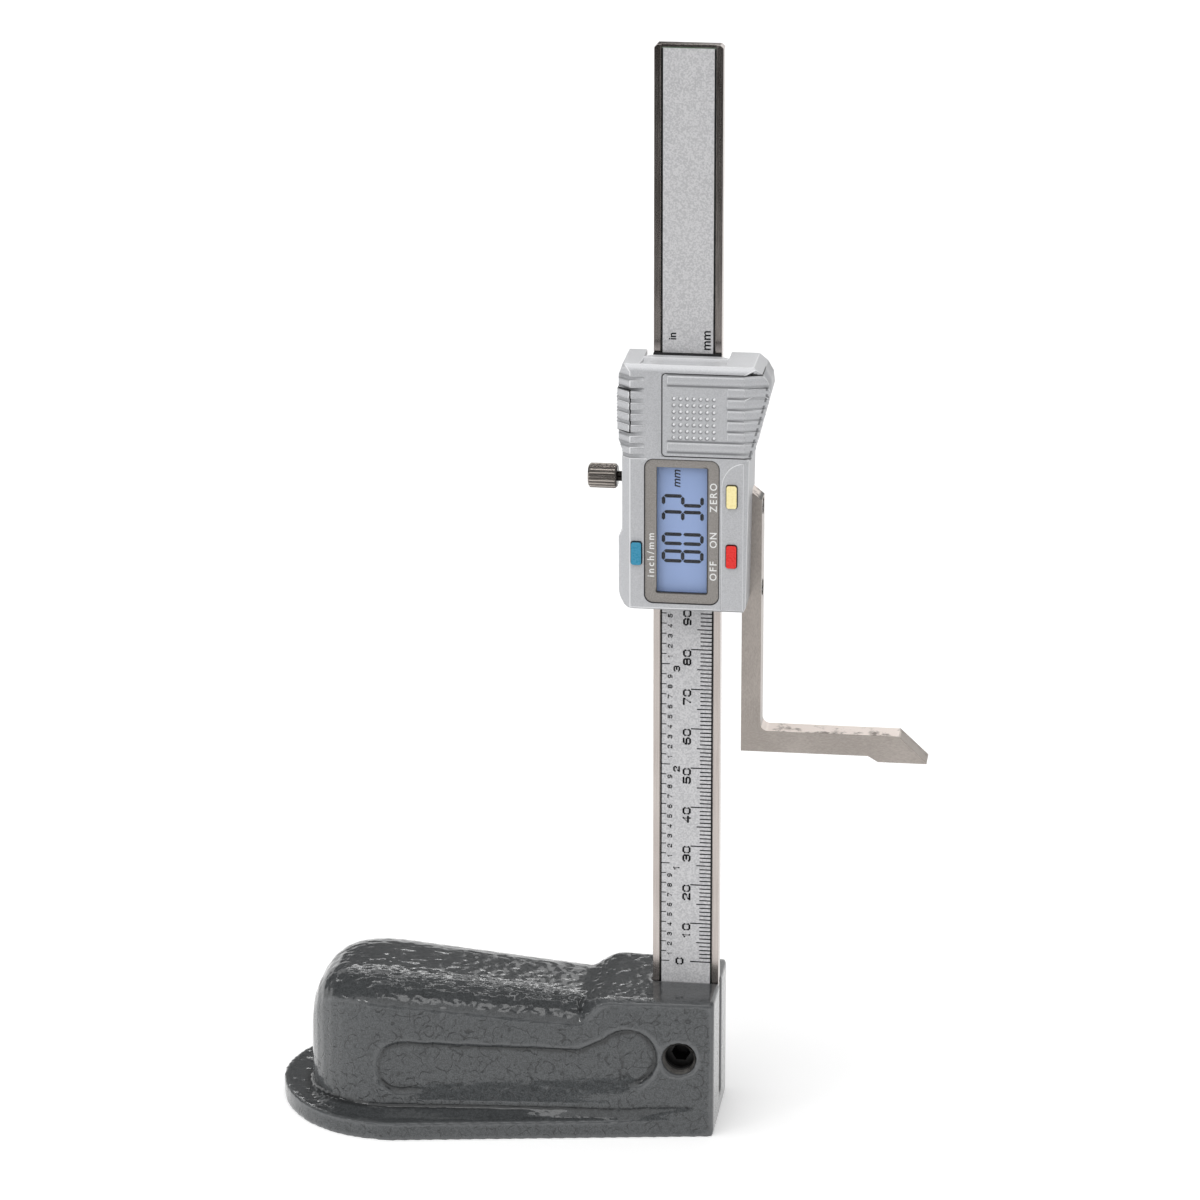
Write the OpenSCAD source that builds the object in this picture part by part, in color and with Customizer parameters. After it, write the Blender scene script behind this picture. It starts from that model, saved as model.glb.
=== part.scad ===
// Digital height gauge: a cast iron base, a graduated beam clamped upright in it,
// and a sliding readout head that carries a bent scriber.
// The origin is on the base's ground underside, below the beam's axis.
// X runs along the base towards the scriber, Y away from the reader, Z up.

/* [Beam and scale] */
// Width of the graduated beam
beam_w = 16; // [14:0.5:18]
// Thickness of the beam
beam_t = 3.5; // [3:0.1:4.5]
// Height of the beam's top end above the datum
beam_top_z = 265.6; // [240:0.1:320]
// Height of the beam's foot above the datum
beam_foot_z = 5; // [3:0.5:8]
// Chamfer on the beam's two top corners
beam_chamfer = 0.7; // [0.2:0.1:2]
// Width of the groove in the beam's front face that holds the scale
groove_w = 12.9; // [11:0.1:13.4]
// Depth of that groove
groove_d = 0.9; // [0.85:0.05:1.2]
// Height of the groove's lower end above the datum
groove_foot_z = 29; // [26:0.5:33]
// Thickness of the capacitive stator strip at the bottom of the groove
stator_t = 0.6; // [0.3:0.05:0.65]
// Thickness of the printed scale foil over the stator
label_t = 0.2; // [0.1:0.05:0.2]
// Side gap between the scale foil and the groove's walls
label_gap = 0.2; // [0.05:0.05:0.4]

/* [Base casting] */
// Distance from the beam's axis to the base's square end
base_end_x = 8.4; // [8:0.1:14]
// Length of the base
base_l = 108.9; // [100:0.1:130]
// Width of the base at its square end
base_end_w = 30.6; // [26:0.2:36]
// Width of the base where its nose begins
base_wide_w = 55; // [48:0.2:64]
// Length of the rounded nose
base_nose_l = 32.5; // [24:0.1:36]
// How late the nose's sides turn in
base_nose_power = 2; // [1.8:0.05:2.6]
// How pointed the nose closes, where 0.5 is round
base_nose_close = 0.55; // [0.5:0.05:0.9]
// How far the nose's tip leans to the back
base_nose_lean = 3; // [0:0.1:4]
// Thickness of the flange round the base
flange_h = 4.6; // [3.5:0.1:6]
// Height of the block that clamps the beam
block_top_z = 34.8; // [33:0.1:42]
// Length of the block's top
block_l = 26.1; // [22:0.1:32]
// Length of the ramp between the hand grip and the block
ramp_l = 6.8; // [4:0.1:10]
// Width of the hand grip's foot at its widest
grip_w = 41.8; // [36:0.2:46]
// Distance from the flange's nose to the grip's nose
grip_nose_gap = 7.8; // [6:0.1:12]
// Length of the grip's rounded nose in plan
grip_nose_l = 20.7; // [16:0.1:26]
// Fullness of the grip's nose in plan
grip_nose_power = 2; // [1.5:0.05:2.4]
// Length over which the grip's top rounds down to its nose
grip_fall_l = 18; // [14:0.1:24]
// Fullness of that rounding
grip_fall_power = 3.8; // [2.5:0.1:5]
// Height of the grip's crest at its thick end
grip_crest_z = 37.2; // [35:0.1:46]
// Height of the grip's crest where it meets the ramp
valley_crest_z = 33.4; // [31:0.1:34.5]
// Height of the grip's shoulders at its thick end
grip_shoulder_z = 32; // [28:0.1:34.5]
// Height of the grip's shoulders where they meet the ramp
valley_shoulder_z = 28; // [25:0.1:30.5]
// How far each side of the grip leans in from foot to shoulder
grip_lean = 1.9; // [0.5:0.1:3]
// How far each side of the block leans in from foot to top
block_lean = 0.4; // [0.1:0.1:1]
// Rounding of the block's top edges
block_round = 0.8; // [0.6:0.1:2]
// Height of the flange's rise to the grip's foot
flare_h = 1.5; // [0.5:0.1:2.5]
// Radius of the front vertical corner at the square end
front_corner_r = 1; // [0.5:0.1:2]
// Radius of the back vertical corner at the square end
back_corner_r = 3; // [1:0.1:4]
// Depth of the recessed panel in the front face
panel_d = 0.9; // [0.4:0.1:1.5]
// Distance from the base's square end to the panel's right round end
panel_right_gap = 20.9; // [18:0.1:24]
// Distance from the base's square end to the panel's left round end
panel_left_gap = 75.8; // [66:0.1:78]
// Height of the panel's right round end
panel_right_z = 19.9; // [18:0.1:21]
// Height of the panel's left round end
panel_left_z = 16.1; // [15:0.1:18]
// Radius of the panel's right round end
panel_right_r = 7.3; // [6:0.1:8]
// Radius of the panel's left round end
panel_left_r = 6.5; // [5:0.1:7.5]

/* [Beam clamp screw] */
// Thread diameter of the screw that clamps the beam
clamp_d = 8; // [6:0.5:9]
// Length of the screw
clamp_l = 9; // [7:0.5:13]
// Height of the screw's axis above the datum
clamp_z = 20; // [18:0.5:22]
// Size of the hexagon socket across its flats
clamp_socket = 4; // [3:0.1:4.5]
// Depth of the socket
clamp_socket_d = 4.5; // [3:0.5:6]

/* [Slider head] */
// Height of the head's lower end above the datum
head_z = 133.3; // [120:0.1:150]
// Height of the head
head_h = 59.3; // [59:0.1:64]
// Distance from the beam's axis to the head's left side
head_left = 15.2; // [14.6:0.1:15.4]
// Distance from the beam's axis to the head's right side
head_right = 15.7; // [15.2:0.1:16.2]
// Distance from the beam's axis to the tip of the thumb wing
wing_right = 20.1; // [19.6:0.1:22]
// Distance from the beam's middle to the head's front face
head_front = 13; // [12.9:0.1:14]
// Thickness of the head's walls
head_wall = 1.4; // [1.2:0.05:1.45]
// Radius of the head's lower left corner
head_corner = 4; // [2:0.5:4.5]
// Depth of the waist on the head's left side
waist_d = 0.9; // [0.3:0.1:1]
// Height of the waist's lower end in the head
waist_z = 18.8; // [16:0.1:20]
// Width of the bevel along the front face's left edge
bevel_left = 3; // [2.4:0.1:3.1]
// Distance from the beam's axis to the right bevel's start
bevel_right_x = 14.5; // [14.2:0.1:15]
// Rise of the right bevel over its run
bevel_slope = 0.4; // [0.3:0.02:0.6]
// Height of the bevel along the front face's top edge
bevel_top = 1.6; // [1:0.1:1.7]
// Number of finger grooves on the left side
finger_grooves = 8; // [5:1:8]
// Height of each finger groove
finger_groove_h = 1; // [0.6:0.1:1.4]
// Distance between the ribs of the head and of the battery cover
rib_pitch = 2.67; // [2.4:0.01:2.7]

/* [Slide and locking] */
// Running clearance between the slide and the beam
slide_clear = 0.04; // [0.02:0.01:0.08]
// Gap between the reading board and the beam's face
sensor_gap = 0.15; // [0.1:0.05:0.3]
// Thickness of the slide's left rail
rail_left_t = 3.8; // [3.5:0.1:3.9]
// Thickness of the slide's right rail
rail_right_t = 5.16; // [5:0.02:5.2]
// Height of the slide
slide_h = 54; // [53.5:0.1:55]
// Height of the slide's lower end in the head
slide_z = 0.3; // [0.2:0.1:0.6]
// Height of the slide's lower front bar
low_bar_h = 8.4; // [8:0.1:8.5]
// Height of the slide's upper front bar
high_bar_h = 4.5; // [4.4:0.1:5]
// Thickness of the gib strip
gib_t = 1.1; // [0.8:0.1:1.3]
// Thickness of the slide's back plate
back_t = 1.2; // [1:0.1:1.6]
// Thread diameter of the gib screws
gib_screw_d = 2.4; // [2:0.1:2.6]
// Thread diameter of the lock screw
lock_d = 2.4; // [2:0.1:2.6]
// Diameter of the lock screw's fluted head
lock_head_d = 5.9; // [5:0.1:7]
// Length of that head
lock_head_l = 6.9; // [6:0.1:9]
// Length of the bare neck between the head and the housing
lock_neck_l = 2.4; // [1:0.1:3]
// Height of the lock screw in the head
lock_z = 28.6; // [27:0.1:30]
// Number of flutes on the lock screw's head
lock_flutes = 20; // [12:1:24]

/* [Readout] */
// Width of the display bezel
bezel_w = 17.4; // [17:0.1:17.6]
// Height of the display bezel
bezel_h = 35; // [34:0.1:35.2]
// Height of the bezel's lower edge in the head
bezel_z = 1.8; // [1.6:0.1:2]
// Thickness of the bezel
bezel_t = 0.8; // [0.5:0.05:0.85]
// Depth of the bezel's face below the front face
bezel_sink = 0.25; // [0.1:0.05:0.3]
// Corner radius of the bezel
bezel_r = 2; // [1:0.1:3]
// Width of the display opening
window_w = 11.8; // [10:0.1:12]
// Height of the display opening
window_h = 30.5; // [28:0.1:30.8]
// Height of the opening's lower edge in the head
window_z = 4.4; // [4.2:0.1:5]
// Thickness of the clear window
window_t = 0.6; // [0.4:0.05:0.6]
// Thickness of the liquid crystal panel
lcd_t = 1.9; // [1.5:0.1:2]
// Width of the zebra connector strips
zebra_w = 1.8; // [1.4:0.1:1.9]
// Thickness of the main board
board_t = 1; // [0.8:0.1:1.2]

/* [Buttons] */
// Width of a button's cap
button_w = 2.4; // [2:0.1:2.5]
// Height of a button's cap
button_h = 5.5; // [4.5:0.1:6]
// How far the caps stand out of the front face
button_out = 0.8; // [0.4:0.05:1.2]
// Travel of a button
button_travel = 0.5; // [0.3:0.05:0.55]
// Distance from the beam's axis to the left button
button_left_x = 10.65; // [10.5:0.05:10.8]
// Distance from the beam's axis to the right buttons
button_right_x = 11.73; // [11.5:0.01:11.75]
// Height of the lower buttons in the head
button_low_z = 13.9; // [13.5:0.1:14]
// Height of the upper button in the head
button_high_z = 28.45; // [27:0.05:30]
// Clearance round a button's cap
button_gap = 0.1; // [0.05:0.01:0.15]

/* [Battery and cover] */
// Diameter of the button cell
cell_d = 11.6; // [11:0.1:11.7]
// Thickness of the button cell
cell_t = 5.4; // [4.8:0.1:5.5]
// Distance from the beam's axis to the cell's axis
cell_x = 3.5; // [3.2:0.1:3.6]
// Height of the cell's axis in the head
cell_z = 46.7; // [46.4:0.1:47]
// Distance from the beam's axis to the cover's left edge
cover_left = 4.64; // [4.4:0.02:5]
// Height of the cover's lower edge in the head
cover_z = 37.7; // [37.4:0.1:38.2]
// Height of the cover
cover_h = 19.8; // [19.2:0.1:19.9]
// Thickness of the cover
cover_t = 1.3; // [1:0.05:1.3]
// Clearance round the cover
cover_gap = 0.1; // [0.05:0.01:0.15]
// Height of the ridges on the cover
ridge_out = 0.35; // [0.2:0.05:0.5]
// Rows and columns of the grip dots on the cover
dot_count = 7; // [4:1:8]
// Distance between the grip dots
dot_pitch = 1.56; // [1.2:0.02:1.6]

/* [Data port] */
// Height of the data port's cover
port_h = 10.1; // [9:0.1:10.4]
// Height of the port's lower edge in the head
port_z = 42.9; // [42.5:0.1:43.4]
// How far the port's cover stands out of the left side
port_out = 0.3; // [0.1:0.05:0.5]
// Clearance round the port's cover
port_gap = 0.1; // [0.05:0.01:0.15]

/* [Scriber] */
// Width of the scriber's upright
scriber_w = 4.6; // [4:0.1:6]
// Thickness of the scriber
scriber_t = 6; // [5:0.1:6.2]
// Height of the scriber's top in the head
scriber_top_z = 27.2; // [26:0.1:28]
// Drop of the blade's underside below the head's lower end
scriber_drop = 37.8; // [25:0.1:50]
// Height of the blade
blade_h = 5.25; // [4:0.05:7]
// Drop of the measuring face below the blade's underside
tip_drop = 1.4; // [0.6:0.1:2.5]
// Distance from the beam's axis to the scriber's point
tip_x = 57.6; // [52:0.1:70]
// Length of the measuring face
tip_l = 11.6; // [8:0.1:14]
// Length of the slanted end of the blade
tip_slant_l = 6.7; // [4:0.1:8]
// Thread diameter of the scriber's screws
scriber_screw_d = 2; // [1.8:0.1:2.2]
// Head diameter of the scriber's screws
scriber_head_d = 3.9; // [3.4:0.1:4.4]

/* [Hidden] */
$fn = 48;
// Overlap that lets a cut pass clear through a face
cut = 1;
// Length of a cut that has to pass through the whole head
through = 60;
// Radial clearance of screws in their holes and of seated inner pieces
fit = 0.05;
// Clearance between flat pieces that are stacked inside the head
stack_gap = 0.05;

beam_half_w = beam_w / 2;
beam_half_t = beam_t / 2;
groove_floor_y = groove_d - beam_half_t;
label_w = groove_w - 2 * label_gap;
label_top_gap = 0.8;

base_nose_x = base_end_x - base_l;
base_wide_x = base_nose_x + base_nose_l;
grip_nose_x = base_nose_x + grip_nose_gap;
grip_wide_x = grip_nose_x + grip_nose_l;
grip_top_x = grip_nose_x + grip_fall_l;
ramp_top_x = base_end_x - block_l;
ramp_foot_x = ramp_top_x - ramp_l;
// Depth to which the grip is rooted in the flange
grip_root = 0.5;
// Least land kept between the flange's rim and the rise to the grip
flange_land = 0.6;
// Width of the rise from the flange to the grip's foot
flare_w = 7;
// Setback of the block's face from the flange's edge at the square end
block_setback = 0.06;
// Fullness of the crown across the grip and across the block
grip_crown = 4.5;
block_crown = 22;

slide_left_x = -beam_half_w - gib_t - 2 * slide_clear;
rail_left_x = slide_left_x - rail_left_t;
rail_right_x = beam_half_w + slide_clear + rail_right_t;
board_back_y = -beam_half_t - sensor_gap;
board_front_y = board_back_y - board_t;
slide_back_y = beam_half_t + slide_clear;
back_face_y = slide_back_y + back_t;
slide_top_z = slide_z + slide_h;
board_low_z = slide_z + low_bar_h + fit;
board_high_z = slide_top_z - high_bar_h - fit;
cavity_left_x = rail_left_x - fit;
cavity_right_x = rail_right_x + fit;
front_wall_y = head_front - head_wall;
rail_left_mid = (rail_left_x + slide_left_x) / 2;
rail_right_mid = rail_right_x - rail_right_t / 2;
lower_screw_z = 5.6;
upper_screw_drop = 2.3;
upper_screw_z = slide_top_z - upper_screw_drop;
boss_r = 1.9;
head_screw_r = 0.85;
head_screw_head_r = 1.7;
board_screw_r = 0.65;
board_screw_head_r = 1.15;
board_screw_head_h = 0.9;
board_screw_l = 1.9;
board_screw_low = 8.95;
board_screw_high = 2.15;
board_screw_zs = [board_low_z + board_screw_low, board_high_z - board_screw_high];
back_screw_r = 0.75;
back_screw_head_r = 1.4;
back_screw_l = 1.5;
back_screw_low = 19.6;
back_screw_high = 16.3;
back_screw_zs = [slide_z + back_screw_low, slide_top_z - back_screw_high];
gib_screw_low = 12.4;
gib_screw_high = 9.6;
gib_screw_zs = [slide_z + gib_screw_low, slide_top_z - gib_screw_high];
lock_head_x = -head_left + waist_d - lock_neck_l;

cover_slope_t = cover_t * sqrt(1 + bevel_slope * bevel_slope);
cover_inner_y = -head_front + cover_t;
cover_knee_x = bevel_right_x - (cover_slope_t - cover_t) / bevel_slope;
cover_top_z = cover_z + cover_h;
sill_t = 1.2;
tongue_h = 0.4;
tongue_t = 0.5;
tongue_y = -head_front + 0.6;
tongue_right_x = 13.4;
well_r = cell_d / 2 + 0.25;
well_wall = 0.9;
cell_back_y = cover_inner_y + 0.4 + cell_t;

bezel_front_y = -head_front + bezel_sink;
bezel_back_y = bezel_front_y + bezel_t;
window_back_y = bezel_back_y + window_t;
rim_t = 0.45;
rim_back_y = window_back_y + rim_t;
window_lap = 1.6;
lcd_lap = 1.4;
rim_lap = 0.4;
holder_wall = 1.2;
lcd_w = window_w + 2 * lcd_lap;
lcd_h = window_h + 2 * lcd_lap;
lcd_z = window_z - lcd_lap;
lcd_front_y = rim_back_y + stack_gap;
lcd_back_y = lcd_front_y + lcd_t;
holder_w = lcd_w + 2 * (holder_wall + fit);
holder_h = lcd_h + 2 * (holder_wall + fit);
holder_z = lcd_z - holder_wall - fit;
zebra_x = lcd_w / 2 - zebra_w / 2 - 0.6;
zebra_low_z = board_low_z + 1.2;
zebra_h = 24;

switch_body_w = 2.8;
switch_body_h = 4;
switch_body_t = 2.4;
switch_knob_r = 0.9;
switch_knob_l = 1;
switch_front_y = board_front_y - switch_body_t - switch_knob_l;
button_tail_y = switch_front_y - button_travel - 0.1;
button_flange_t = 0.6;
button_flange_lap = 0.25;
button_r = 0.55;

port_side_x = -head_left - port_out;
port_front_x = -head_left + bevel_left - port_out;
port_wall = 1.6;
port_back_y = -3.5;

scriber_left_x = rail_right_x;
scriber_right_x = scriber_left_x + scriber_w;
blade_z = -scriber_drop;
tip_z = blade_z - tip_drop;
scriber_screw_zs = [2.5, 22.6];
scriber_head_h = 1.8;
scriber_head_sink = 0.3;
inner_fillet_r = 1.8;
tip_step_l = 2.4;
tip_land_h = 0.4;
top_slope_x = 1.6;
top_slope_h = 2.5;

// Box between two corners
module box(low, high) {
    translate(low) cube(high - low);
}

// Cylinder along Y from y0 to y1
module rod_y(x, z, r, y0, y1) {
    translate([x, y0, z]) rotate([-90, 0, 0]) cylinder(r = r, h = y1 - y0);
}

// Cylinder along X from x0 to x1, on the beam's middle plane
module rod_x(z, r, x0, x1) {
    translate([x0, 0, z]) rotate([0, 90, 0]) cylinder(r = r, h = x1 - x0);
}

// Outline in X and Z given depth in Y, from y0 to y1
module slab_y(y0, y1) {
    translate([0, y1, 0]) rotate([90, 0, 0]) linear_extrude(y1 - y0) children();
}

// Rectangle with round corners, from its low corner
module round_rect(w, h, r) {
    translate([r, 0]) square([w - 2 * r, h]);
    translate([0, r]) square([w, h - 2 * r]);
    for (x = [r, w - r], y = [r, h - r]) translate([x, y]) circle(r);
}

// Places a piece of the head at the head's height
module in_head() {
    translate([0, 0, head_z]) children();
}

// Falls from 1 at t = 0 to 0 at t = 1 along a superellipse
function fall(t, power) = pow(max(0, 1 - pow(max(0, t), power)), 1 / power);
// Eases from 0 to 1
function ease(t) = let (u = min(1, max(0, t))) u * u * (3 - 2 * u);
function mix(a, b, t) = a + (b - a) * t;

// Nose factor of the flange at a station, the shift of its middle and its half width
function flange_nose(x) =
    pow(max(0, 1 - pow(max(0, (base_wide_x - x) / base_nose_l), base_nose_power)), base_nose_close);
function nose_shift(x) = base_nose_lean * max(0, (base_wide_x - x) / base_nose_l);
function flange_half(x) =
    mix(base_wide_w, base_end_w, (x - base_wide_x) / (base_end_x - base_wide_x)) / 2 * flange_nose(x);

// Share of the way along the grip, from its widest station to the square end
function along(x) = (x - grip_wide_x) / (base_end_x - grip_wide_x);
// Nose factor of the grip in plan and in height
function plan_nose(x) = fall((grip_wide_x - x) / grip_nose_l, grip_nose_power);
function top_nose(x) = fall((grip_top_x - x) / grip_fall_l, grip_fall_power);
// Share of the way along the falling crest, and up the ramp
function crest_run(x) = min(1, max(0, (x - grip_top_x) / (ramp_foot_x - grip_top_x)));
function ramp_rise(x) = ease((x - ramp_foot_x) / ramp_l);

function foot_half(x) = x < grip_wide_x
    ? grip_w / 2 * plan_nose(x)
    : mix(grip_w, base_end_w - 2 * block_setback, along(x)) / 2;
function foot_z(x) = flange_h + flare_h * min(1, plan_nose(min(x, grip_wide_x))) * (1 + along(max(x, grip_wide_x)));
function lean(x) = mix(grip_lean, block_lean, along(max(x, grip_wide_x))) * plan_nose(min(x, grip_wide_x));
function crest_z(x) = mix(
    flange_h + (mix(grip_crest_z, valley_crest_z, crest_run(x)) - flange_h) * top_nose(min(x, grip_top_x)),
    block_top_z, ramp_rise(x));
function shoulder_z(x) = mix(
    flange_h + (mix(grip_shoulder_z, valley_shoulder_z, crest_run(x)) - flange_h) * top_nose(min(x, grip_top_x)),
    block_top_z - block_round, ramp_rise(x));
function crown(x) = mix(grip_crown, block_crown, ramp_rise(x));

// Stations along the upper casting: close at the nose and on the ramp
nose_start = 0.12;
nose_steps = 9;
grip_steps = 5;
ramp_steps = 5;
stations = concat(
    [for (i = [0 : nose_steps])
        grip_nose_x + nose_start + (grip_nose_l - nose_start) * (1 - cos(90 * i / nose_steps))],
    [for (i = [1 : grip_steps]) mix(grip_wide_x, ramp_foot_x, i / grip_steps)],
    [for (i = [1 : ramp_steps]) mix(ramp_foot_x, ramp_top_x, i / ramp_steps)],
    [base_end_x]);
arch_steps = 9;

// Points of one side of a section, from its root to its crest
function half_section(x) = let (
    foot = foot_half(x),
    flare = max(foot, min(flange_half(x) - nose_shift(x) - flange_land, foot + flare_w)),
    top = foot - lean(x))
    concat(
        [[flare, flange_h - grip_root], [foot, foot_z(x)]],
        [for (j = [0 : arch_steps]) let (y = top * cos(90 * j / arch_steps))
            [y, crest_z(x) - (crest_z(x) - shoulder_z(x)) * pow(y / top, crown(x))]]);
half_count = arch_steps + 3;
section_count = 2 * half_count - 1;
function section(x) = let (half = half_section(x)) concat(
    [for (p = half) [x, p[0], p[1]]],
    [for (k = [1 : half_count - 1]) let (p = half[half_count - 1 - k]) [x, -p[0], p[1]]]);

// Grip, ramp and block in one skin over the stations, closed by a fan at each end
module upper_casting() {
    last = len(stations) - 1;
    nose_hub = len(stations) * section_count;
    end_hub = nose_hub + 1;
    hub_z = flange_h - grip_root / 2;
    ring = [for (k = [0 : section_count - 1]) [k, (k + 1) % section_count]];
    polyhedron(
        points = concat(
            [for (x = stations) each section(x)],
            [[stations[0], 0, hub_z], [stations[last], 0, hub_z]]),
        faces = concat(
            [for (e = ring) [nose_hub, e[0], e[1]]],
            [for (i = [0 : last - 1], e = ring)
                let (a = i * section_count + e[0], b = i * section_count + e[1])
                each [[a, a + section_count, b], [b, a + section_count, b + section_count]]],
            [for (e = ring) [end_hub, last * section_count + e[1], last * section_count + e[0]]]),
        convexity = 4);
}

// Flange outline: a wedge from the square end that closes in a round nose
flange_nose_steps = 16;
module flange_outline() {
    nose = [for (i = [1 : flange_nose_steps]) base_wide_x - base_nose_l * cos(90 * i / flange_nose_steps)];
    polygon(concat(
        [[base_end_x, -base_end_w / 2]],
        [for (i = [1 : flange_nose_steps]) let (x = nose[flange_nose_steps - i]) [x, nose_shift(x) - flange_half(x)]],
        [[base_nose_x, base_nose_lean]],
        [for (x = nose) [x, nose_shift(x) + flange_half(x)]],
        [[base_end_x, base_end_w / 2]]));
}

// Outline of the recessed panel: two round ends, with a rise towards the right one
panel_left_x = base_end_x - panel_left_gap;
panel_right_x = base_end_x - panel_right_gap;
// Share of the way from the grip's lean to the block's lean that the panel's floor takes
panel_lean = 0.35;
panel_rise_start = 0.79;
// Dip of the panel's top edge before its rise
panel_dip = 0.7;
panel_rise_end = 0.9;
module panel_outline() {
    span = panel_right_x - panel_left_x;
    rise_x = panel_left_x + panel_rise_start * span;
    shoulder_x = panel_left_x + panel_rise_end * span;
    top_left = panel_left_z + panel_left_r;
    top_right = panel_right_z + panel_right_r;
    translate([panel_left_x, panel_left_z]) circle(panel_left_r);
    translate([panel_right_x, panel_right_z]) circle(panel_right_r);
    polygon([[panel_left_x, panel_left_z - panel_left_r],
             [panel_right_x, panel_right_z - panel_right_r],
             [panel_right_x, top_right],
             [shoulder_x, mix(top_left, top_right, 0.5)],
             [rise_x, top_left - panel_dip],
             [panel_left_x, top_left]]);
}

// Cutter whose floor follows the front face's turn in plan and its mean lean
module panel_cutter() {
    turn = atan2((grip_w - base_end_w) / 2, base_end_x - grip_wide_x);
    tilt = atan2(mix(grip_lean, block_lean, panel_lean), valley_shoulder_z - flange_h);
    translate([base_end_x, -base_end_w / 2, flange_h]) rotate([-tilt, 0, turn])
        translate([-base_end_x, base_end_w / 2, -flange_h])
            slab_y(-base_wide_w, -base_end_w / 2 + panel_d) panel_outline();
}

// Rounds a vertical corner at the square end, on the side given by its sign
module end_corner_cut(side, r) {
    mirror([0, side < 0 ? 1 : 0, 0]) difference() {
        box([base_end_x - r, base_end_w / 2 - r, -cut], [base_end_x + cut, base_end_w / 2 + cut, block_top_z + cut]);
        translate([base_end_x - r, base_end_w / 2 - r, -2 * cut]) cylinder(r = r, h = block_top_z + 4 * cut);
    }
}

module base_casting() color([0.33, 0.34, 0.35]) difference() {
    union() {
        linear_extrude(flange_h) flange_outline();
        upper_casting();
    }
    panel_cutter();
    end_corner_cut(-1, front_corner_r);
    end_corner_cut(1, back_corner_r);
    box([-beam_half_w - fit, -beam_half_t - fit, beam_foot_z],
        [base_end_x + cut, beam_half_t + fit, block_top_z + cut]);
    rod_y(0, clamp_z, clamp_d / 2 + fit, -base_wide_w, 0);
}

module beam_set_screw() color([0.08, 0.08, 0.08]) difference() {
    rod_y(0, clamp_z, clamp_d / 2, -beam_half_t - clamp_l, -beam_half_t);
    translate([0, -beam_half_t - clamp_l - cut, clamp_z]) rotate([-90, 0, 0])
        cylinder(r = clamp_socket / sqrt(3), h = clamp_socket_d + cut, $fn = 6);
}

module beam() color([0.69, 0.66, 0.63]) difference() {
    slab_y(-beam_half_t, beam_half_t)
        polygon([[-beam_half_w, beam_foot_z], [beam_half_w, beam_foot_z],
                 [beam_half_w, beam_top_z - beam_chamfer], [beam_half_w - beam_chamfer, beam_top_z],
                 [beam_chamfer - beam_half_w, beam_top_z], [-beam_half_w, beam_top_z - beam_chamfer]]);
    box([-groove_w / 2, -beam_half_t - cut, groove_foot_z], [groove_w / 2, groove_floor_y, beam_top_z + cut]);
}

module stator_strip() color([0.2, 0.42, 0.28])
    box([-label_w / 2, groove_floor_y - stator_t, groove_foot_z + fit],
        [label_w / 2, groove_floor_y, beam_top_z - label_top_gap]);

module scale_label() color([0.77, 0.77, 0.79])
    box([-label_w / 2, groove_floor_y - stator_t - label_t, groove_foot_z + fit],
        [label_w / 2, groove_floor_y - stator_t, beam_top_z - label_top_gap]);

module slider_frame() color([0.66, 0.65, 0.63]) in_head() difference() {
    union() {
        box([rail_left_x, board_back_y, slide_z], [slide_left_x, slide_back_y, slide_top_z]);
        box([rail_right_x - rail_right_t, board_back_y, slide_z], [rail_right_x, slide_back_y, slide_top_z]);
        box([rail_left_x, board_front_y, slide_z], [rail_right_x, board_back_y, slide_z + low_bar_h]);
        box([rail_left_x, board_front_y, slide_top_z - high_bar_h],
            [rail_right_x, board_back_y, slide_top_z]);
    }
    for (z = gib_screw_zs) rod_x(z, gib_screw_d / 2 + fit, rail_left_x - cut, slide_left_x + cut);
    rod_x(lock_z, lock_d / 2 + fit, rail_left_x - cut, slide_left_x + cut);
    for (z = scriber_screw_zs)
        rod_x(z, scriber_screw_d / 2 + fit, rail_right_x - rail_right_t - cut, rail_right_x + cut);
    for (x = [rail_left_mid, rail_right_mid]) {
        for (z = [lower_screw_z, upper_screw_z])
            rod_y(x, z, head_screw_r + fit, board_front_y - cut, slide_back_y + cut);
        for (z = board_screw_zs)
            rod_y(x, z, board_screw_r + fit, board_back_y - cut, board_back_y + board_screw_l);
        for (z = back_screw_zs)
            rod_y(x, z, back_screw_r + fit, slide_back_y - back_screw_l, slide_back_y + cut);
    }
}

gib_end_gap = 1.2;
module gib_strip() color([0.72, 0.58, 0.32]) in_head()
    box([slide_left_x + slide_clear / 2, -beam_half_t + slide_clear, slide_z + gib_end_gap],
        [-beam_half_w - slide_clear, beam_half_t - slide_clear, slide_top_z - gib_end_gap]);

// Slotted grub screws that set the gib strip's play
gib_slot_w = 0.5;
gib_slot_d = 0.8;
module gib_screws() color([0.4, 0.4, 0.4]) in_head() for (z = gib_screw_zs) difference() {
    rod_x(z, gib_screw_d / 2, rail_left_x, slide_left_x + slide_clear / 2);
    box([rail_left_x - cut, -gib_screw_d, z - gib_slot_w / 2],
        [rail_left_x + gib_slot_d, gib_screw_d, z + gib_slot_w / 2]);
}

// Countersunk screw along Y with its head flush at the back face
module back_screw(x, z, r, head_r, y0) {
    rod_y(x, z, r, y0, back_face_y);
    translate([x, back_face_y - (head_r - r), z]) rotate([-90, 0, 0])
        cylinder(r1 = r, r2 = head_r, h = head_r - r);
}

// The same screw's hole, with clearance all round
module back_screw_hole(x, z, r, head_r) {
    rod_y(x, z, r + fit, slide_back_y - cut, back_face_y + cut);
    translate([x, back_face_y - (head_r - r), z]) rotate([-90, 0, 0])
        cylinder(r1 = r + fit, r2 = head_r + fit, h = head_r - r);
    rod_y(x, z, head_r + fit, back_face_y, back_face_y + cut);
}

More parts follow.
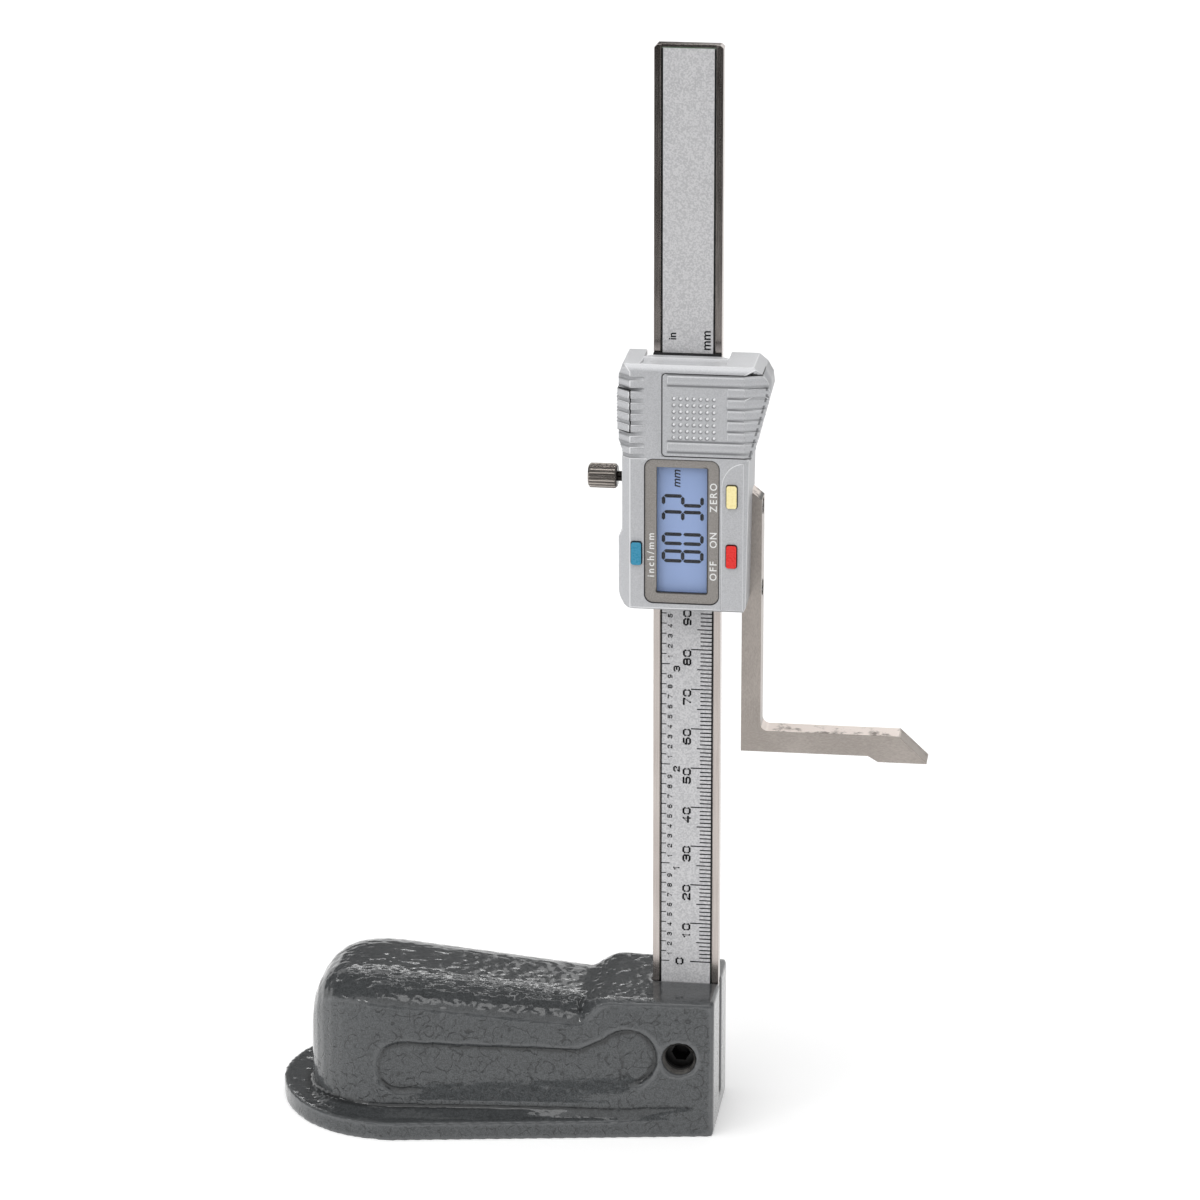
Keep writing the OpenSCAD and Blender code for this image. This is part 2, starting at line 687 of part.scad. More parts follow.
// Slot across the head of a screw that faces the back
back_slot_w = 0.45;
back_slot_d = 0.5;
module back_slot(x, z, head_r) {
    box([x - head_r, back_face_y - back_slot_d, z - back_slot_w / 2],
        [x + head_r, back_face_y + cut, z + back_slot_w / 2]);
}

module back_plate() color([0.68, 0.67, 0.65]) in_head() difference() {
    box([rail_left_x, slide_back_y, slide_z], [rail_right_x, back_face_y, slide_top_z]);
    for (x = [rail_left_mid, rail_right_mid]) {
        for (z = back_screw_zs) back_screw_hole(x, z, back_screw_r, back_screw_head_r);
        for (z = [lower_screw_z, upper_screw_z]) back_screw_hole(x, z, head_screw_r, head_screw_head_r);
    }
}

module back_plate_screws() color([0.55, 0.55, 0.55]) in_head()
    for (x = [rail_left_mid, rail_right_mid], z = back_screw_zs) difference() {
        back_screw(x, z, back_screw_r, back_screw_head_r, slide_back_y - back_screw_l + fit);
        back_slot(x, z, back_screw_head_r);
    }

head_screw_tip_gap = 3.5;
head_screw_tip_y = head_screw_tip_gap - front_wall_y;
module housing_screws() color([0.55, 0.55, 0.55]) in_head()
    for (x = [rail_left_mid, rail_right_mid], z = [lower_screw_z, upper_screw_z]) difference() {
        back_screw(x, z, head_screw_r, head_screw_head_r, head_screw_tip_y);
        back_slot(x, z, head_screw_head_r);
    }

// Fluted thumb screw: chamfered head, bare neck and a thread that ends just short of the gib strip
lock_tip_gap = 0.1;
lock_chamfer = 0.5;
lock_flute_r = 0.3;
module lock_screw() color([0.62, 0.6, 0.57]) in_head() {
    head_r = lock_head_d / 2;
    difference() {
        translate([lock_head_x - lock_head_l, 0, lock_z]) rotate([0, 90, 0])
            rotate_extrude()
                polygon([[0, 0], [head_r - lock_chamfer, 0], [head_r, lock_chamfer],
                         [head_r, lock_head_l - lock_chamfer], [head_r - lock_chamfer, lock_head_l],
                         [0, lock_head_l]]);
        for (i = [0 : lock_flutes - 1])
            translate([lock_head_x - lock_head_l - cut, 0, lock_z]) rotate([360 * i / lock_flutes, 0, 0])
                translate([0, head_r, 0]) rotate([0, 90, 0]) cylinder(r = lock_flute_r, h = lock_head_l + 2 * cut);
    }
    rod_x(lock_z, lock_d / 2, lock_head_x - lock_chamfer, slide_left_x + slide_clear / 2 - lock_tip_gap);
}

// Front outline of the head, with its waist on the left and thumb wing on the right
wing_low_z = 37.9;
wing_step_x = 0.6;
wing_step_h = 1.3;
wing_wide_drop = 6.8;
wing_high_x = 19.85;
wing_high_drop = 4.1;
wing_mid_x = 18.45;
wing_mid_drop = 1.6;
wing_top_x = 16.5;
waist_step = 1.8;
waist_top_z = wing_low_z + 2.4;
left_chamfer_w = 1.1;
left_chamfer_h = 3.1;
right_foot_w = 1.2;
corner_steps = 8;
module head_outline() {
    corner = [for (i = [0 : corner_steps]) let (a = 270 - 90 * i / corner_steps)
        [-head_left + head_corner * (1 + cos(a)), head_corner * (1 + sin(a))]];
    polygon(concat(
        [[head_right - right_foot_w, 0]], corner,
        [[-head_left, waist_z - waist_step], [-head_left + waist_d, waist_z],
         [-head_left + waist_d, waist_top_z - waist_step], [-head_left, waist_top_z],
         [-head_left, head_h - left_chamfer_h], [-head_left + left_chamfer_w, head_h],
         [wing_top_x, head_h], [wing_mid_x, head_h - wing_mid_drop], [wing_high_x, head_h - wing_high_drop],
         [wing_right, head_h - wing_wide_drop], [head_right + wing_step_x, wing_low_z],
         [head_right, wing_low_z - wing_step_h], [head_right - wing_step_x, right_foot_w]]));
}

// Section of the head seen from above, with the bevels beside the front face
function bevel_y(x) = -head_front + (x - bevel_right_x) * bevel_slope;
bevel_left_d = 2.7;
module head_section() {
    far_x = wing_right + cut;
    polygon([[-head_left, slide_back_y], [-head_left, -head_front + bevel_left_d],
             [-head_left + bevel_left, -head_front], [bevel_right_x, -head_front],
             [far_x, bevel_y(far_x)], [far_x, slide_back_y]]);
}

// Side profile of the head, with the bevels above and below the front face
bevel_low = 0.5;
bevel_top_d = 1.4;
module head_profile() {
    polygon([[slide_back_y, 0], [-head_front + bevel_low, 0], [-head_front, bevel_low],
             [-head_front, head_h - bevel_top], [-head_front + bevel_top_d, head_h],
             [slide_back_y, head_h]]);
}

module head_blank() {
    intersection() {
        slab_y(-head_front, slide_back_y) head_outline();
        linear_extrude(head_h) head_section();
        translate([-head_left, 0, 0]) rotate([90, 0, 90]) linear_extrude(head_left + wing_right)
            head_profile();
    }
}

// Region of the battery cover: everything in front of its bent inner face
module cover_region(gap) {
    far_x = wing_right + through;
    far_y = -head_front - through;
    inner_y = cover_inner_y + gap;
    translate([0, 0, cover_z - gap]) linear_extrude(cover_h + 2 * gap)
        polygon([[-cover_left - gap, far_y], [-cover_left - gap, inner_y], [cover_knee_x, inner_y],
                 [far_x, inner_y + (far_x - cover_knee_x) * bevel_slope], [far_x, far_y]]);
}

// The cover's guide tongues, and with a gap and a longer reach the grooves they run in
module cover_tongues(gap, right_x) {
    for (z = [cover_z - tongue_h - gap, cover_top_z])
        box([-cover_left - gap, tongue_y - gap, z], [right_x, tongue_y + tongue_t + gap, z + tongue_h + gap]);
}

// Finger groove cut across the left bevel, running out on the front face
groove_end_x = 8.4;
groove_cut_d = 0.8;
finger_low_z = 37.4;
module finger_groove_cuts() {
    for (i = [0 : finger_grooves - 1])
        translate([0, 0, finger_low_z + i * rib_pitch - finger_groove_h / 2]) linear_extrude(finger_groove_h)
            polygon([[-groove_end_x, -head_front - cut], [-groove_end_x, -head_front],
                     [-head_left + bevel_left, -head_front + groove_cut_d],
                     [-head_left + groove_cut_d, -head_front + bevel_left_d],
                     [-head_left - cut, -head_front + bevel_left_d + groove_cut_d],
                     [-head_left - cut, -head_front - cut]]);
}

// Thick inner corner that keeps a wall behind the finger grooves
backing_w = 3.2;
module groove_backing() {
    low_z = finger_low_z - finger_groove_h;
    translate([0, 0, low_z]) linear_extrude(head_h - head_wall - low_z + fit)
        polygon([[cavity_left_x - fit, -front_wall_y - fit],
                 [cavity_left_x + backing_w, -front_wall_y - fit],
                 [cavity_left_x - fit, -front_wall_y + backing_w]]);
}

// The data port's cover wraps the left bevel and side
module port_region(gap) {
    translate([0, 0, port_z - gap]) linear_extrude(port_h + 2 * gap)
        polygon([[port_front_x + gap + port_out, -head_front - cut],
                 [port_front_x + gap + port_out, -head_front + port_wall + gap],
                 [port_side_x + port_wall + gap + port_out, -head_front + bevel_left_d + gap],
                 [port_side_x + port_wall + gap + port_out, port_back_y + gap],
                 [port_side_x - cut, port_back_y + gap], [port_side_x - cut, -head_front - cut]]);
}

// Passage of the beam, with open corners beside it at the head's top
notch_out = 1.9;
notch_in = 0.4;
notch_front_y = -4.3;
lip_back_y = -2.9;
passage_half_w = beam_half_w + notch_in;
notch_half_w = beam_half_w + notch_out;
module beam_passage() {
    box([-passage_half_w, lip_back_y, -cut], [passage_half_w, slide_back_y + cut, head_h + cut]);
    translate([0, 0, slide_top_z + stack_gap]) linear_extrude(head_h)
        polygon([[-notch_half_w, slide_back_y + cut], [-notch_half_w, notch_front_y],
                 [-passage_half_w, lip_back_y], [passage_half_w, lip_back_y],
                 [notch_half_w, notch_front_y], [notch_half_w, slide_back_y + cut]]);
}

// Trough in the head's top: it falls from the lip before the beam and ends at the front rim
lip_drop = 0.8;
lip_crest_y = -5.2;
lip_foot_y = -6.4;
trough_front_y = -10.7;
module lip_trough() {
    translate([-notch_half_w, 0, 0]) rotate([90, 0, 90]) linear_extrude(2 * notch_half_w)
        polygon([[trough_front_y, head_h + cut], [trough_front_y, head_h - lip_drop],
                 [lip_foot_y, head_h - lip_drop], [lip_crest_y, head_h], [lip_crest_y, head_h + cut]]);
}

// Hollow inside the thumb wing, open at the back
wing_wall = 1.5;
module wing_hollow() {
    left_x = cavity_right_x + wing_wall;
    slab_y(bevel_y(bevel_right_x) + 5, slide_back_y + cut)
        polygon([[left_x, wing_low_z + wing_wall], [head_right - wing_step_x + 0.3, wing_low_z + wing_wall],
                 [wing_right - 2 * wing_wall, head_h - wing_wide_drop - wing_wall],
                 [wing_top_x - wing_wall, head_h - wing_wall], [left_x, head_h - wing_wall]]);
}

// Raised strip that carries the two right buttons, with a large round corner at its top
strip_left_x = 9.3;
strip_corner_z = 30.5;
strip_top_z = 36.5;
strip_out = 0.2;
strip_steps = 8;
module button_strip() {
    corner_w = bevel_right_x - strip_left_x;
    corner_h = strip_top_z - strip_corner_z;
    arc = [for (i = [0 : strip_steps]) let (a = 90 * i / strip_steps)
        [bevel_right_x - corner_w * cos(a), strip_corner_z + corner_h * sin(a)]];
    slab_y(-head_front - strip_out, -head_front + fit)
        polygon(concat([[bevel_right_x, bevel_low], [strip_left_x, bevel_low]], arc));
}

module button_opening(x, z) {
    w = button_w + 2 * button_gap;
    h = button_h + 2 * button_gap;
    slab_y(-head_front - cut, -front_wall_y + cut)
        translate([x - w / 2, z - h / 2]) round_rect(w, h, button_r + button_gap);
}

// Pocket and sill that seat the bezel, the window and the display
module display_openings() {
    slab_y(-head_front - cut, bezel_back_y)
        translate([-bezel_w / 2 - fit, bezel_z - fit])
            round_rect(bezel_w + 2 * fit, bezel_h + 2 * fit, bezel_r + fit);
    box([-window_w / 2 - window_lap - fit, bezel_back_y - fit, window_z - window_lap - fit],
        [window_w / 2 + window_lap + fit, window_back_y, window_z + window_h + window_lap + fit]);
    box([-window_w / 2 - rim_lap, window_back_y - cut, window_z - rim_lap],
        [window_w / 2 + rim_lap, rim_back_y + cut, window_z + window_h + rim_lap]);
}

contact_slot = 0.2;
module battery_well() {
    translate([0, cover_inner_y + cover_gap + sill_t - fit, 0]) difference() {
        rod_y(cell_x, cell_z, well_r + well_wall, 0, cell_back_y - cover_inner_y - sill_t + 0.8);
        rod_y(cell_x, cell_z, well_r, -cut, through);
    }
}

module housing() color([0.78, 0.79, 0.81]) in_head() difference() {
    union() {
        difference() {
            head_blank();
            box([cavity_left_x, -front_wall_y, head_wall], [cavity_right_x, slide_back_y + cut, head_h - head_wall]);
            box([cavity_left_x, board_front_y - fit, -cut], [cavity_right_x, slide_back_y + cut, head_wall + cut]);
        }
        // Sill behind the battery cover
        box([-cover_left - head_wall, -front_wall_y - fit, cover_z - head_wall],
            [cavity_right_x + fit, cover_inner_y + cover_gap + sill_t, head_h - head_wall + fit]);
        // Pad round the display
        box([-holder_w / 2, -front_wall_y - fit, holder_z], [holder_w / 2, rim_back_y, holder_z + holder_h]);
        groove_backing();
        button_strip();
        battery_well();
        for (x = [rail_left_mid, rail_right_mid], z = [lower_screw_z, upper_screw_z])
            rod_y(x, z, boss_r, -front_wall_y - fit, board_front_y - stack_gap);
    }
    // Pocket for the slide
    box([cavity_left_x, board_front_y - fit, head_wall],
        [cavity_right_x, slide_back_y + cut, slide_top_z + stack_gap]);
    // Pocket for the display holder
    box([-holder_w / 2 - fit, rim_back_y, holder_z - fit],
        [holder_w / 2 + fit, board_front_y, holder_z + holder_h + fit]);
    cover_region(cover_gap);
    cover_tongues(cover_gap, wing_right + cut);
    rod_y(cell_x, cell_z, well_r, -head_front - cut, cell_back_y);
    box([cell_x - well_r - 3 * well_wall, contact_front_y - contact_slot, cell_z - contact_h / 2 - contact_slot],
        [cell_x - well_r + 2 * fit + contact_t, board_front_y, cell_z + contact_h / 2 + contact_slot]);
    finger_groove_cuts();
    port_region(port_gap);
    beam_passage();
    lip_trough();
    display_openings();
    button_opening(-button_left_x, button_low_z);
    button_opening(button_right_x, button_low_z);
    button_opening(button_right_x, button_high_z);
    rod_x(lock_z, lock_d / 2 + 0.3, -head_left - cut, cavity_left_x + cut);
    box([rail_right_x, -scriber_t / 2 - fit, -cut], [wing_right, slide_back_y + cut, scriber_top_z + 2 * fit]);
    for (x = [rail_left_mid, rail_right_mid], z = [lower_screw_z, upper_screw_z])
        rod_y(x, z, head_screw_r + fit, head_screw_tip_y - fit, slide_back_y + cut);
    wing_hollow();
}

module display_bezel() color([0.55, 0.53, 0.51]) in_head() slab_y(bezel_front_y, bezel_back_y) difference() {
    translate([-bezel_w / 2, bezel_z]) round_rect(bezel_w, bezel_h, bezel_r);
    translate([-window_w / 2, window_z]) square([window_w, window_h]);
}

module display_window() color([0.8, 0.85, 0.9, 0.4]) in_head()
    box([-window_w / 2 - window_lap, bezel_back_y, window_z - window_lap],
        [window_w / 2 + window_lap, window_back_y, window_z + window_h + window_lap]);

module lcd_panel() color([0.56, 0.64, 0.82]) in_head()
    box([-lcd_w / 2, lcd_front_y, lcd_z], [lcd_w / 2, lcd_back_y, lcd_z + lcd_h]);

// Frame that stands on the board, holds the panel and guides the zebra strips
chip_w = 7;
chip_t = 1.4;
chip_room = 1.2;
module lcd_holder() color([0.9, 0.9, 0.88]) in_head() difference() {
    box([-holder_w / 2, lcd_front_y, holder_z], [holder_w / 2, board_front_y - stack_gap, holder_z + holder_h]);
    box([-lcd_w / 2 - fit, lcd_front_y - cut, lcd_z - fit], [lcd_w / 2 + fit, lcd_back_y, lcd_z + lcd_h + fit]);
    box([-chip_w / 2 - chip_room, lcd_front_y, zebra_low_z],
        [chip_w / 2 + chip_room, board_front_y + cut, zebra_low_z + zebra_h]);
    for (s = [-1, 1])
        box([s * zebra_x - zebra_w / 2 - fit, lcd_front_y, zebra_low_z - fit],
            [s * zebra_x + zebra_w / 2 + fit, board_front_y + cut, zebra_low_z + zebra_h + fit]);
}

module zebra_strips() color([0.85, 0.6, 0.6]) in_head() for (s = [-1, 1])
    box([s * zebra_x - zebra_w / 2, lcd_back_y, zebra_low_z],
        [s * zebra_x + zebra_w / 2, board_front_y, zebra_low_z + zebra_h]);

module main_board() color([0.1, 0.4, 0.2]) in_head() difference() {
    box([rail_left_x, board_front_y, board_low_z], [rail_right_x, board_back_y, board_high_z]);
    for (x = [rail_left_mid, rail_right_mid], z = board_screw_zs)
        rod_y(x, z, board_screw_r + fit, board_front_y - cut, board_back_y + cut);
}

module main_board_screws() color([0.6, 0.6, 0.6]) in_head()
    for (x = [rail_left_mid, rail_right_mid], z = board_screw_zs) {
        rod_y(x, z, board_screw_r, board_front_y - board_screw_head_h, board_back_y + board_screw_l - fit);
        rod_y(x, z, board_screw_head_r, board_front_y - board_screw_head_h, board_front_y);
    }

chip_z = zebra_low_z + zebra_h / 2;
module controller_chip() color([0.1, 0.1, 0.1]) in_head()
    box([-chip_w / 2, board_front_y - chip_t, chip_z - chip_w / 2],
        [chip_w / 2, board_front_y, chip_z + chip_w / 2]);

button_places = [[-button_left_x, button_low_z], [button_right_x, button_high_z], [button_right_x, button_low_z]];
module tact_switches() color([0.15, 0.15, 0.15]) in_head() for (p = button_places) {
    box([p[0] - switch_body_w / 2, board_front_y - switch_body_t, p[1] - switch_body_h / 2],
        [p[0] + switch_body_w / 2, board_front_y, p[1] + switch_body_h / 2]);
    rod_y(p[0], p[1], switch_knob_r, switch_front_y, board_front_y - switch_body_t);
}

// Button: a rounded cap, a flange that keeps it in the housing, and a stem down to its switch
module button_cap(place) in_head() {
    wide = button_w + 2 * button_flange_lap;
    tall = button_h + 2 * button_flange_lap;
    flange_y = -front_wall_y + button_gap;
    slab_y(-head_front - button_out, flange_y)
        translate([place[0] - button_w / 2, place[1] - button_h / 2]) round_rect(button_w, button_h, button_r);
    slab_y(flange_y, flange_y + button_flange_t)
        translate([place[0] - wide / 2, place[1] - tall / 2]) square([wide, tall]);
    rod_y(place[0], place[1], switch_knob_r, flange_y, button_tail_y);
}

module button_inch_mm() color([0.24, 0.59, 0.73]) button_cap(button_places[0]);
module button_zero() color([0.96, 0.84, 0.47]) button_cap(button_places[1]);
module button_power() color([0.92, 0.18, 0.16]) button_cap(button_places[2]);

module battery_cell() color([0.75, 0.75, 0.77]) in_head() {
    rim = 0.9;
    step = 0.5;
    rod_y(cell_x, cell_z, cell_d / 2, cell_back_y - cell_t, cell_back_y - step);
    rod_y(cell_x, cell_z, cell_d / 2 - rim, cell_back_y - step, cell_back_y);
}

// Leaf that stands beside the cell and touches its can
contact_t = 0.3;
contact_h = 4;
contact_foot = 2.3;
contact_front_y = -9.5;
module battery_contact_positive() color([0.8, 0.7, 0.4]) in_head() {
    right_x = cell_x - cell_d / 2 - fit;
    slab_low = cell_z - contact_h / 2;
    box([right_x - contact_t, contact_front_y, slab_low], [right_x, board_front_y, slab_low + contact_h]);
    box([right_x - contact_foot, board_front_y - contact_t, slab_low],
        [right_x, board_front_y, slab_low + contact_h]);
}

// Bent leaf under the cell
leaf_half_l = 3;
leaf_w = 3;
leaf_low_z = cell_z - 2.2;
module battery_contact_negative() color([0.8, 0.7, 0.4]) in_head() {
    low_y = board_front_y - contact_t;
    high_y = cell_back_y + stack_gap;
    translate([cell_x, 0, leaf_low_z]) linear_extrude(leaf_w)
        polygon([[-leaf_half_l, board_front_y], [-leaf_half_l, low_y], [leaf_half_l - 1, low_y],
                 [-leaf_half_l + 0.5, high_y], [-leaf_half_l + 1, high_y],
                 [leaf_half_l, low_y], [leaf_half_l, board_front_y]]);
}

// Sliding cover: a bent plate with two tongues, seven rounded ridges and a field of grip dots
ridge_gap = 0.3;
ridge_left_x = 3.4;
ridge_part_x = 10.6;
ridge_count = 7;
ridge_low_z = cover_z + 1.15;
ridge_full_low = 1;
ridge_steps = 6;
ridge_h = rib_pitch - ridge_gap;
// Overlap of a ridge's straight and slanted runs at the knee
ridge_knee = 0.12;
// How far a ridge's rounded end stands out of the wing's edge
tooth_out = 0.4;
dot_r = 0.42;
dot_top_r = 0.2;
dot_out = 0.35;
dot_mid_x = 2.8;
dot_drop = 0.6;

// Right edge of the wing at a height in the head
function wing_edge_x(z) = lookup(z, [
    [wing_low_z, head_right + wing_step_x], [head_h - wing_wide_drop, wing_right],
    [head_h - wing_high_drop, wing_high_x], [head_h - wing_mid_drop, wing_mid_x]]);

// Half round run of a ridge along X, from its start and on its lower edge
module ridge_run(l) {
    rotate([90, 0, 90]) linear_extrude(l)
        polygon(concat(
            [for (j = [0 : ridge_steps]) let (a = 180 * j / ridge_steps)
                [-ridge_out * sin(a), ridge_h / 2 * (1 - cos(a))]],
            [[fit, ridge_h], [fit, 0]]));
}
module cover_ridge(z, left_x) {
    far_x = wing_right + tooth_out;
    intersection() {
        union() {
            translate([left_x, -head_front, z]) ridge_run(bevel_right_x + ridge_knee - left_x);
            translate([bevel_right_x, -head_front, z]) rotate([0, 0, atan(bevel_slope)])
                translate([-ridge_knee, 0, 0]) ridge_run(2 * (far_x - bevel_right_x));
        }
        slab_y(-head_front - cut, 0)
            polygon([[left_x, z], [wing_edge_x(z), z], [wing_edge_x(z + ridge_h / 2) + tooth_out, z + ridge_h / 2],
                     [wing_edge_x(z + ridge_h), z + ridge_h], [left_x, z + ridge_h]]);
    }
}
module battery_cover() color([0.79, 0.8, 0.82]) in_head() {
    intersection() {
        head_blank();
        cover_region(0);
    }
    cover_tongues(0, tongue_right_x);
    for (i = [0 : ridge_count - 1])
        cover_ridge(ridge_low_z + i * rib_pitch,
                    (i < ridge_full_low || i == ridge_count - 1) ? -ridge_left_x : ridge_part_x);
    field = (dot_count - 1) * dot_pitch;
    for (i = [0 : dot_count - 1], j = [0 : dot_count - 1])
        translate([dot_mid_x - field / 2 + i * dot_pitch, -head_front + fit,
                   cover_z + cover_h / 2 - dot_drop - field / 2 + j * dot_pitch])
            rotate([90, 0, 0]) cylinder(r1 = dot_r, r2 = dot_top_r, h = dot_out + fit);
}

module port_cover() color([0.79, 0.8, 0.82]) in_head() difference() {
    intersection() {
        port_region(0);
        translate([-port_out, 0, 0]) linear_extrude(head_h) head_section();
    }
    translate([-port_out, 0, 0]) finger_groove_cuts();
}

// Contact pads of the data port on the board's left edge
pad_count = 4;
pad_pitch = 2.2;
pad_w = 1.2;
pad_l = 1.8;
pad_t = 0.2;
pad_drop = 11.45;
pad_low_z = board_high_z - pad_drop;
module port_contacts() color([0.85, 0.7, 0.35]) in_head() for (i = [0 : pad_count - 1])
    translate([rail_left_x, board_front_y - pad_t, pad_low_z + i * pad_pitch])
        cube([pad_l, pad_t, pad_w]);

module scriber_outline() {
    blade_top = blade_z + blade_h;
    difference() {
        polygon([[scriber_left_x, blade_z], [tip_x - tip_l - tip_step_l, blade_z],
                 [tip_x - tip_l, tip_z], [tip_x, tip_z], [tip_x, tip_z + tip_land_h],
                 [tip_x - tip_slant_l, blade_top],
                 [scriber_right_x + inner_fillet_r, blade_top],
                 [scriber_right_x + inner_fillet_r, blade_top + inner_fillet_r],
                 [scriber_right_x, blade_top + inner_fillet_r],
                 [scriber_right_x, scriber_top_z - top_slope_h],
                 [scriber_left_x + top_slope_x, scriber_top_z], [scriber_left_x, scriber_top_z]]);
        translate([scriber_right_x + inner_fillet_r, blade_top + inner_fillet_r]) circle(inner_fillet_r);
    }
}

module scriber() color([0.68, 0.65, 0.62]) in_head() difference() {
    slab_y(-scriber_t / 2, scriber_t / 2) scriber_outline();
    for (z = scriber_screw_zs) {
        rod_x(z, scriber_screw_d / 2 + fit, scriber_left_x - cut, scriber_right_x + cut);
        rod_x(z, scriber_head_d / 2 + fit, scriber_right_x - scriber_head_sink - scriber_head_h,
              scriber_right_x + cut);
    }
}

scriber_tip_gap = 0.6;
scriber_slot_w = 0.6;
scriber_slot_d = 0.7;
module scriber_screws() color([0.5, 0.5, 0.5]) in_head() for (z = scriber_screw_zs) difference() {
    union() {
        rod_x(z, scriber_screw_d / 2, beam_half_w + scriber_tip_gap, scriber_right_x);
        rod_x(z, scriber_head_d / 2, scriber_right_x - scriber_head_sink - scriber_head_h,
              scriber_right_x - scriber_head_sink);
    }
    box([scriber_right_x - scriber_head_sink - scriber_slot_d, -scriber_head_d, z - scriber_slot_w / 2],
        [scriber_right_x - scriber_head_sink + cut, scriber_head_d, z + scriber_slot_w / 2]);
}

base_casting();
beam_set_screw();
beam();
stator_strip();
scale_label();
slider_frame();
gib_strip();
gib_screws();
back_plate();
back_plate_screws();
housing_screws();
lock_screw();
housing();
display_bezel();
display_window();
lcd_panel();
lcd_holder();
zebra_strips();
main_board();
main_board_screws();
controller_chip();
tact_switches();
button_inch_mm();
button_zero();
button_power();
battery_cell();
battery_contact_positive();
battery_contact_negative();
battery_cover();
port_cover();
port_contacts();
scriber();
scriber_screws();
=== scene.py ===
import math

import bmesh
import bpy
import numpy as np
from mathutils import Matrix, Vector, noise


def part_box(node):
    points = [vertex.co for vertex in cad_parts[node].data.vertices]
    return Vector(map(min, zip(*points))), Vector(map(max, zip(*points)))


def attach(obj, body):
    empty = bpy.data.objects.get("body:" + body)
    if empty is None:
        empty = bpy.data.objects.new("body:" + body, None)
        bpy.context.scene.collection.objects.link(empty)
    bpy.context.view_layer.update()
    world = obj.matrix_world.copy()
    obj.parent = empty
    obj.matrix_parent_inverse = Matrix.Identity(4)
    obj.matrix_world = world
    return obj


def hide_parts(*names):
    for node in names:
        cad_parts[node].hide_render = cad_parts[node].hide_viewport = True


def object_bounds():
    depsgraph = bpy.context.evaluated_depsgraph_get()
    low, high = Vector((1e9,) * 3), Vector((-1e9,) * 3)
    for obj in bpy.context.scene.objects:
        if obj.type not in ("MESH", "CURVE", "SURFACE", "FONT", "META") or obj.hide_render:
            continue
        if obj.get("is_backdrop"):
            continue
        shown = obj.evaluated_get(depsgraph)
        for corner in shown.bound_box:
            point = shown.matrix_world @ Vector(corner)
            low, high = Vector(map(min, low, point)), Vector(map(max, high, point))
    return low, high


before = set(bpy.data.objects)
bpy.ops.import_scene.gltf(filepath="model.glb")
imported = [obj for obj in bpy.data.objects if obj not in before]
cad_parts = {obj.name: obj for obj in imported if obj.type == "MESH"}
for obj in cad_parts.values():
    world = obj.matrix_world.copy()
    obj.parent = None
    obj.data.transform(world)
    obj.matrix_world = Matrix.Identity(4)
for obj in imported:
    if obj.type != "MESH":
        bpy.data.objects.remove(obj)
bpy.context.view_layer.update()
scene = bpy.context.scene
mm = 0.001

# Camera.
# A long lens at about one metre, looking down on the gauge from a little to its right.
SENSOR_WIDTH = 36.0
LENS = 142.33
CLIP_RANGE = (0.05, 20.0)
CAMERA_PLACE = (0.12342, -1.06321, 0.48157)
CAMERA_TURN = (71.903, 0.131, 7.694)
camera_data = bpy.data.cameras.new("photo_camera")
camera_data.sensor_width = SENSOR_WIDTH
camera_data.lens = LENS
camera_data.clip_start, camera_data.clip_end = CLIP_RANGE
camera = bpy.data.objects.new("photo_camera", camera_data)
camera.location = CAMERA_PLACE
camera.rotation_euler = [math.radians(angle) for angle in CAMERA_TURN]
scene.collection.objects.link(camera)
scene.camera = camera

# Base casting.
# Grey iron, cast in one piece with its flange, hand grip and clamp block, then sprayed with a
# glossy paint that wrinkles on the upper faces and dries smooth, with fine cracks, on the sides.
MERGE_DISTANCE = 0.0005 * mm
CAST_VOXEL = 0.5 * mm
CAST_SMOOTHING = 6
WRINKLE_HEIGHT = 0.12 * mm
WRINKLE_SCALE = Vector((470.0, 680.0, 680.0))
BLOCK_SCALE = 0.6
FINE_WRINKLE = 2.1
FINE_SHARE = 0.35
LEDGE_ROUNDS = 40
CREASE_ROUNDS = 6
CREASE_FULL = 0.16 * mm
SOLE_FACING = -0.999
SOLE_SLACK = 0.02 * mm
PAINT_GREY = (0.05, 0.0535, 0.056, 1.0)
# The darkest paint colour serves the cracks and mottling and also painted shade; the edge colour is a painted
# highlight.
PAINT_DARK_AND_SHADE = (0.012, 0.0125, 0.013, 1.0)
PAINT_LIGHT = (0.088, 0.0935, 0.097, 1.0)
PAINT_HIGHLIGHT = (0.14, 0.145, 0.15, 1.0)
CRACK_SCALE = 250.0
CRACK_RADIUS = 0.44
CRACK_SWAY = 2.6 * mm
# Where the paint changes: each pair gives the place where a change starts and where it is complete.
BEFORE_BEAM_X = (-8.4 * mm, -7.6 * mm)
BEFORE_BEAM_Y = (0.4 * mm, -1.2 * mm)
FLANGE_Z = (11.0 * mm, 8.0 * mm)
NOSE_X = (-78.0 * mm, -86.0 * mm)
POOL_LEFT_X = (-40.0 * mm, -20.0 * mm)
POOL_RIGHT_X = (-6.0 * mm, -9.0 * mm)
POOL_SHARE = 0.75
BLOCK_X = (-23.0 * mm, -17.0 * mm)
LEDGE_Y = (-10.0 * mm, -12.0 * mm)
LEDGE_LOW_Z = (6.8 * mm, 7.8 * mm)
LEDGE_HIGH_Z = (17.0 * mm, 14.5 * mm)
LEDGE_LEFT_X = (-66.0 * mm, -60.0 * mm)
LEDGE_RIGHT_X = (-8.0 * mm, -14.0 * mm)


